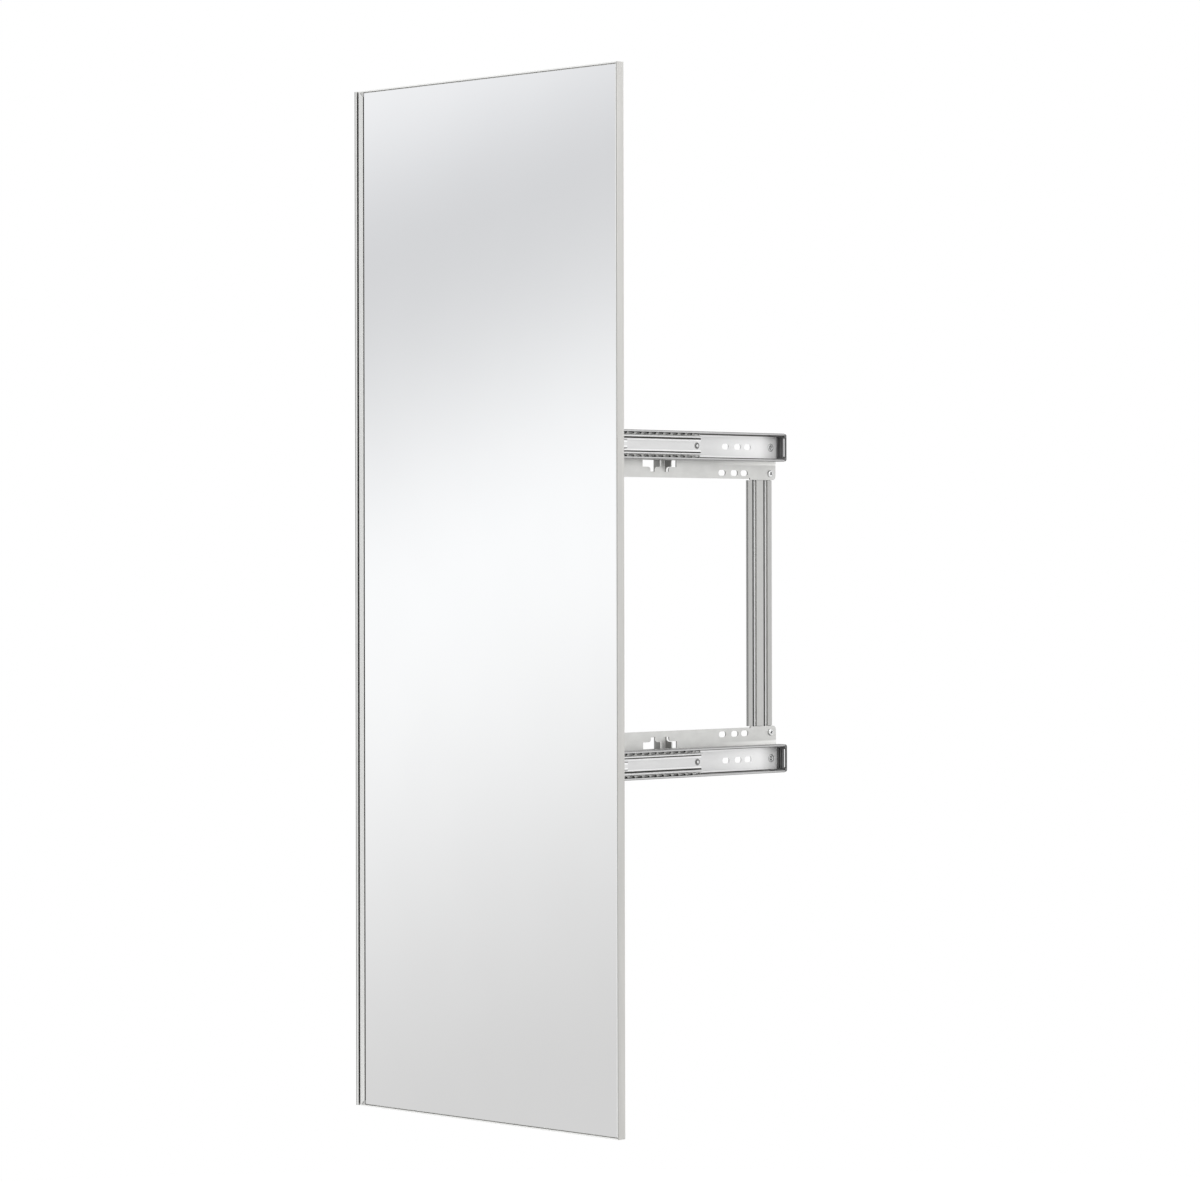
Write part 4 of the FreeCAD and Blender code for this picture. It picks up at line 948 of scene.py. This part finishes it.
def backdrop_paper(radius):
    """White paper that glows where it is seen or mirrored, more so towards the floor's rim, so
    that it runs into the white round it."""
    material, tree = blank("White paper backdrop")
    path = add(tree, "LightPath")
    seen = path["Is Camera Ray"]
    for ray in ("Is Glossy Ray", "Is Transmission Ray"):
        seen = add(tree, "Math", (seen, path[ray]), operation="MAXIMUM")[0]
    tooth = grain(tree, (2.0, 2.0, 2.0), detail=3.0)
    paper = coats(tree, linear("BDBDBD"), ((tooth, 1.0), linear("BABABA")))
    lit = add(tree, "BsdfDiffuse", {"Color": paper})[0]
    place = add(tree, "TexCoord")["Object"]
    distance = add(tree, "VectorMath", (place,), operation="LENGTH")["Value"]
    rise = add(tree, "MapRange", (distance, 0.35 * radius, 0.95 * radius, 0.6, 1.0))[0]
    glow = add(tree, "Emission", {"Color": WHITE, "Strength": rise})[0]
    dark = add(tree, "Emission", {"Color": (0, 0, 0), "Strength": 0.0})[0]
    extra = add(tree, "MixShader", (seen, dark, glow))[0]
    add(tree, "OutputMaterial", {"Surface": add(tree, "AddShader", (lit, extra))[0]})
    return material


def surroundings(scene, settings):
    """White all round, with two soft boxes and the dusk between them for gloss to pick up."""
    world = bpy.data.worlds.new("Soft studio")
    scene.world = world
    world.use_nodes = True
    tree = world.node_tree
    tree.nodes.clear()
    path = add(tree, "LightPath")
    direction = add(tree, "TexCoord")["Generated"]
    height = add(tree, "VectorMath", (direction, STUDIO_RISE), operation="DOT_PRODUCT")["Value"]
    level = add(tree, "MapRange", (height, 0.0, STUDIO_REACH, 0.0, 1.0))[0]
    boxes = add(tree, "ValToRGB", (level,))["Color"]
    ramp = boxes.node.color_ramp
    ramp.interpolation = "CARDINAL"
    while len(ramp.elements) < len(STUDIO_BANDS):
        ramp.elements.new(0.5)
    for element, (position, colour) in zip(ramp.elements, STUDIO_BANDS):
        element.position = position
        element.color = (*linear(colour), 1.0)
    mirrored = add(tree, "Background", {"Color": boxes, "Strength": STUDIO_GLOSS})[0]
    even = add(tree, "Background", {"Color": WHITE, "Strength": settings.ambient})[0]
    seen = add(tree, "Background", {"Color": WHITE, "Strength": 1.0})[0]
    gloss = add(tree, "Math", (path["Is Glossy Ray"], path["Is Transmission Ray"]),
                operation="MAXIMUM")[0]
    light = add(tree, "MixShader", (gloss, even, mirrored))[0]
    whole = add(tree, "MixShader", (path["Is Camera Ray"], light, seen))[0]
    add(tree, "OutputWorld", {"Surface": whole})


def lamps(settings):
    """Three large soft lamps that look at the middle of the slides."""
    for name, place, share, side in LAMPS:
        data = bpy.data.lights.new(name + "_lamp", "AREA")
        data.shape = "SQUARE"
        data.size = side
        data.energy = settings.lamp_power * share
        lamp = bpy.data.objects.new(name + "_lamp", data)
        lamp.location = place
        lamp.rotation_euler = (-Vector(place)).to_track_quat("-Z", "Y").to_euler()
        bpy.context.scene.collection.objects.link(lamp)


def camera(scene, settings):
    """Level catalogue camera with a long lens."""
    data = bpy.data.cameras.new("catalogue_camera")
    data.lens = settings.lens
    data.sensor_width = 36.0
    data.shift_y = settings.shift
    data.clip_end = 60.0
    eye = bpy.data.objects.new("catalogue_camera", data)
    eye.location = settings.camera_at
    eye.rotation_euler = (math.radians(90), settings.camera_roll, settings.camera_turn)
    scene.collection.objects.link(eye)
    scene.camera = eye


# ---- panel and registration ----

OPERATORS = (CLOSET_OT_mirror_sheet, CLOSET_OT_mirror_frame, CLOSET_OT_plates, CLOSET_OT_slides,
             CLOSET_OT_swivel, CLOSET_OT_screws, CLOSET_OT_studio)
SETTINGS = {
    "closet_mirror_sheet": MirrorSettings,
    "closet_mirror_aluminium": AluminiumSettings,
    "closet_mirror_slides": SlideSettings,
    "closet_mirror_studio": StudioSettings,
}


class CLOSET_PT_sidebar(bpy.types.Panel):
    """Operators and settings of the closet mirror"""

    bl_idname = "CLOSET_PT_sidebar"
    bl_label = "Closet Mirror"
    bl_space_type = "VIEW_3D"
    bl_region_type = "UI"
    bl_category = "Closet Mirror"

    def draw(self, context):
        for operator in OPERATORS:
            self.layout.operator(operator.bl_idname)
        for name, group in SETTINGS.items():
            box = self.layout.box()
            box.label(text=group.__doc__)
            for prop in group.__annotations__:
                box.prop(getattr(context.scene, name), prop)


def register():
    for group in SETTINGS.values():
        bpy.utils.register_class(group)
    for operator in OPERATORS:
        bpy.utils.register_class(operator)
    bpy.utils.register_class(CLOSET_PT_sidebar)
    for name, group in SETTINGS.items():
        setattr(bpy.types.Scene, name, bpy.props.PointerProperty(type=group))


def unregister():
    for name in SETTINGS:
        delattr(bpy.types.Scene, name)
    bpy.utils.unregister_class(CLOSET_PT_sidebar)
    for operator in reversed(OPERATORS):
        bpy.utils.unregister_class(operator)
    for group in reversed(list(SETTINGS.values())):
        bpy.utils.unregister_class(group)


def main():
    register()
    bpy.ops.closet_mirror.mirror_sheet()
    bpy.ops.closet_mirror.mirror_frame()
    bpy.ops.closet_mirror.plates()
    bpy.ops.closet_mirror.slides()
    bpy.ops.closet_mirror.swivel()
    bpy.ops.closet_mirror.screws()
    bpy.ops.closet_mirror.studio()


if __name__ == "__main__":
    main()
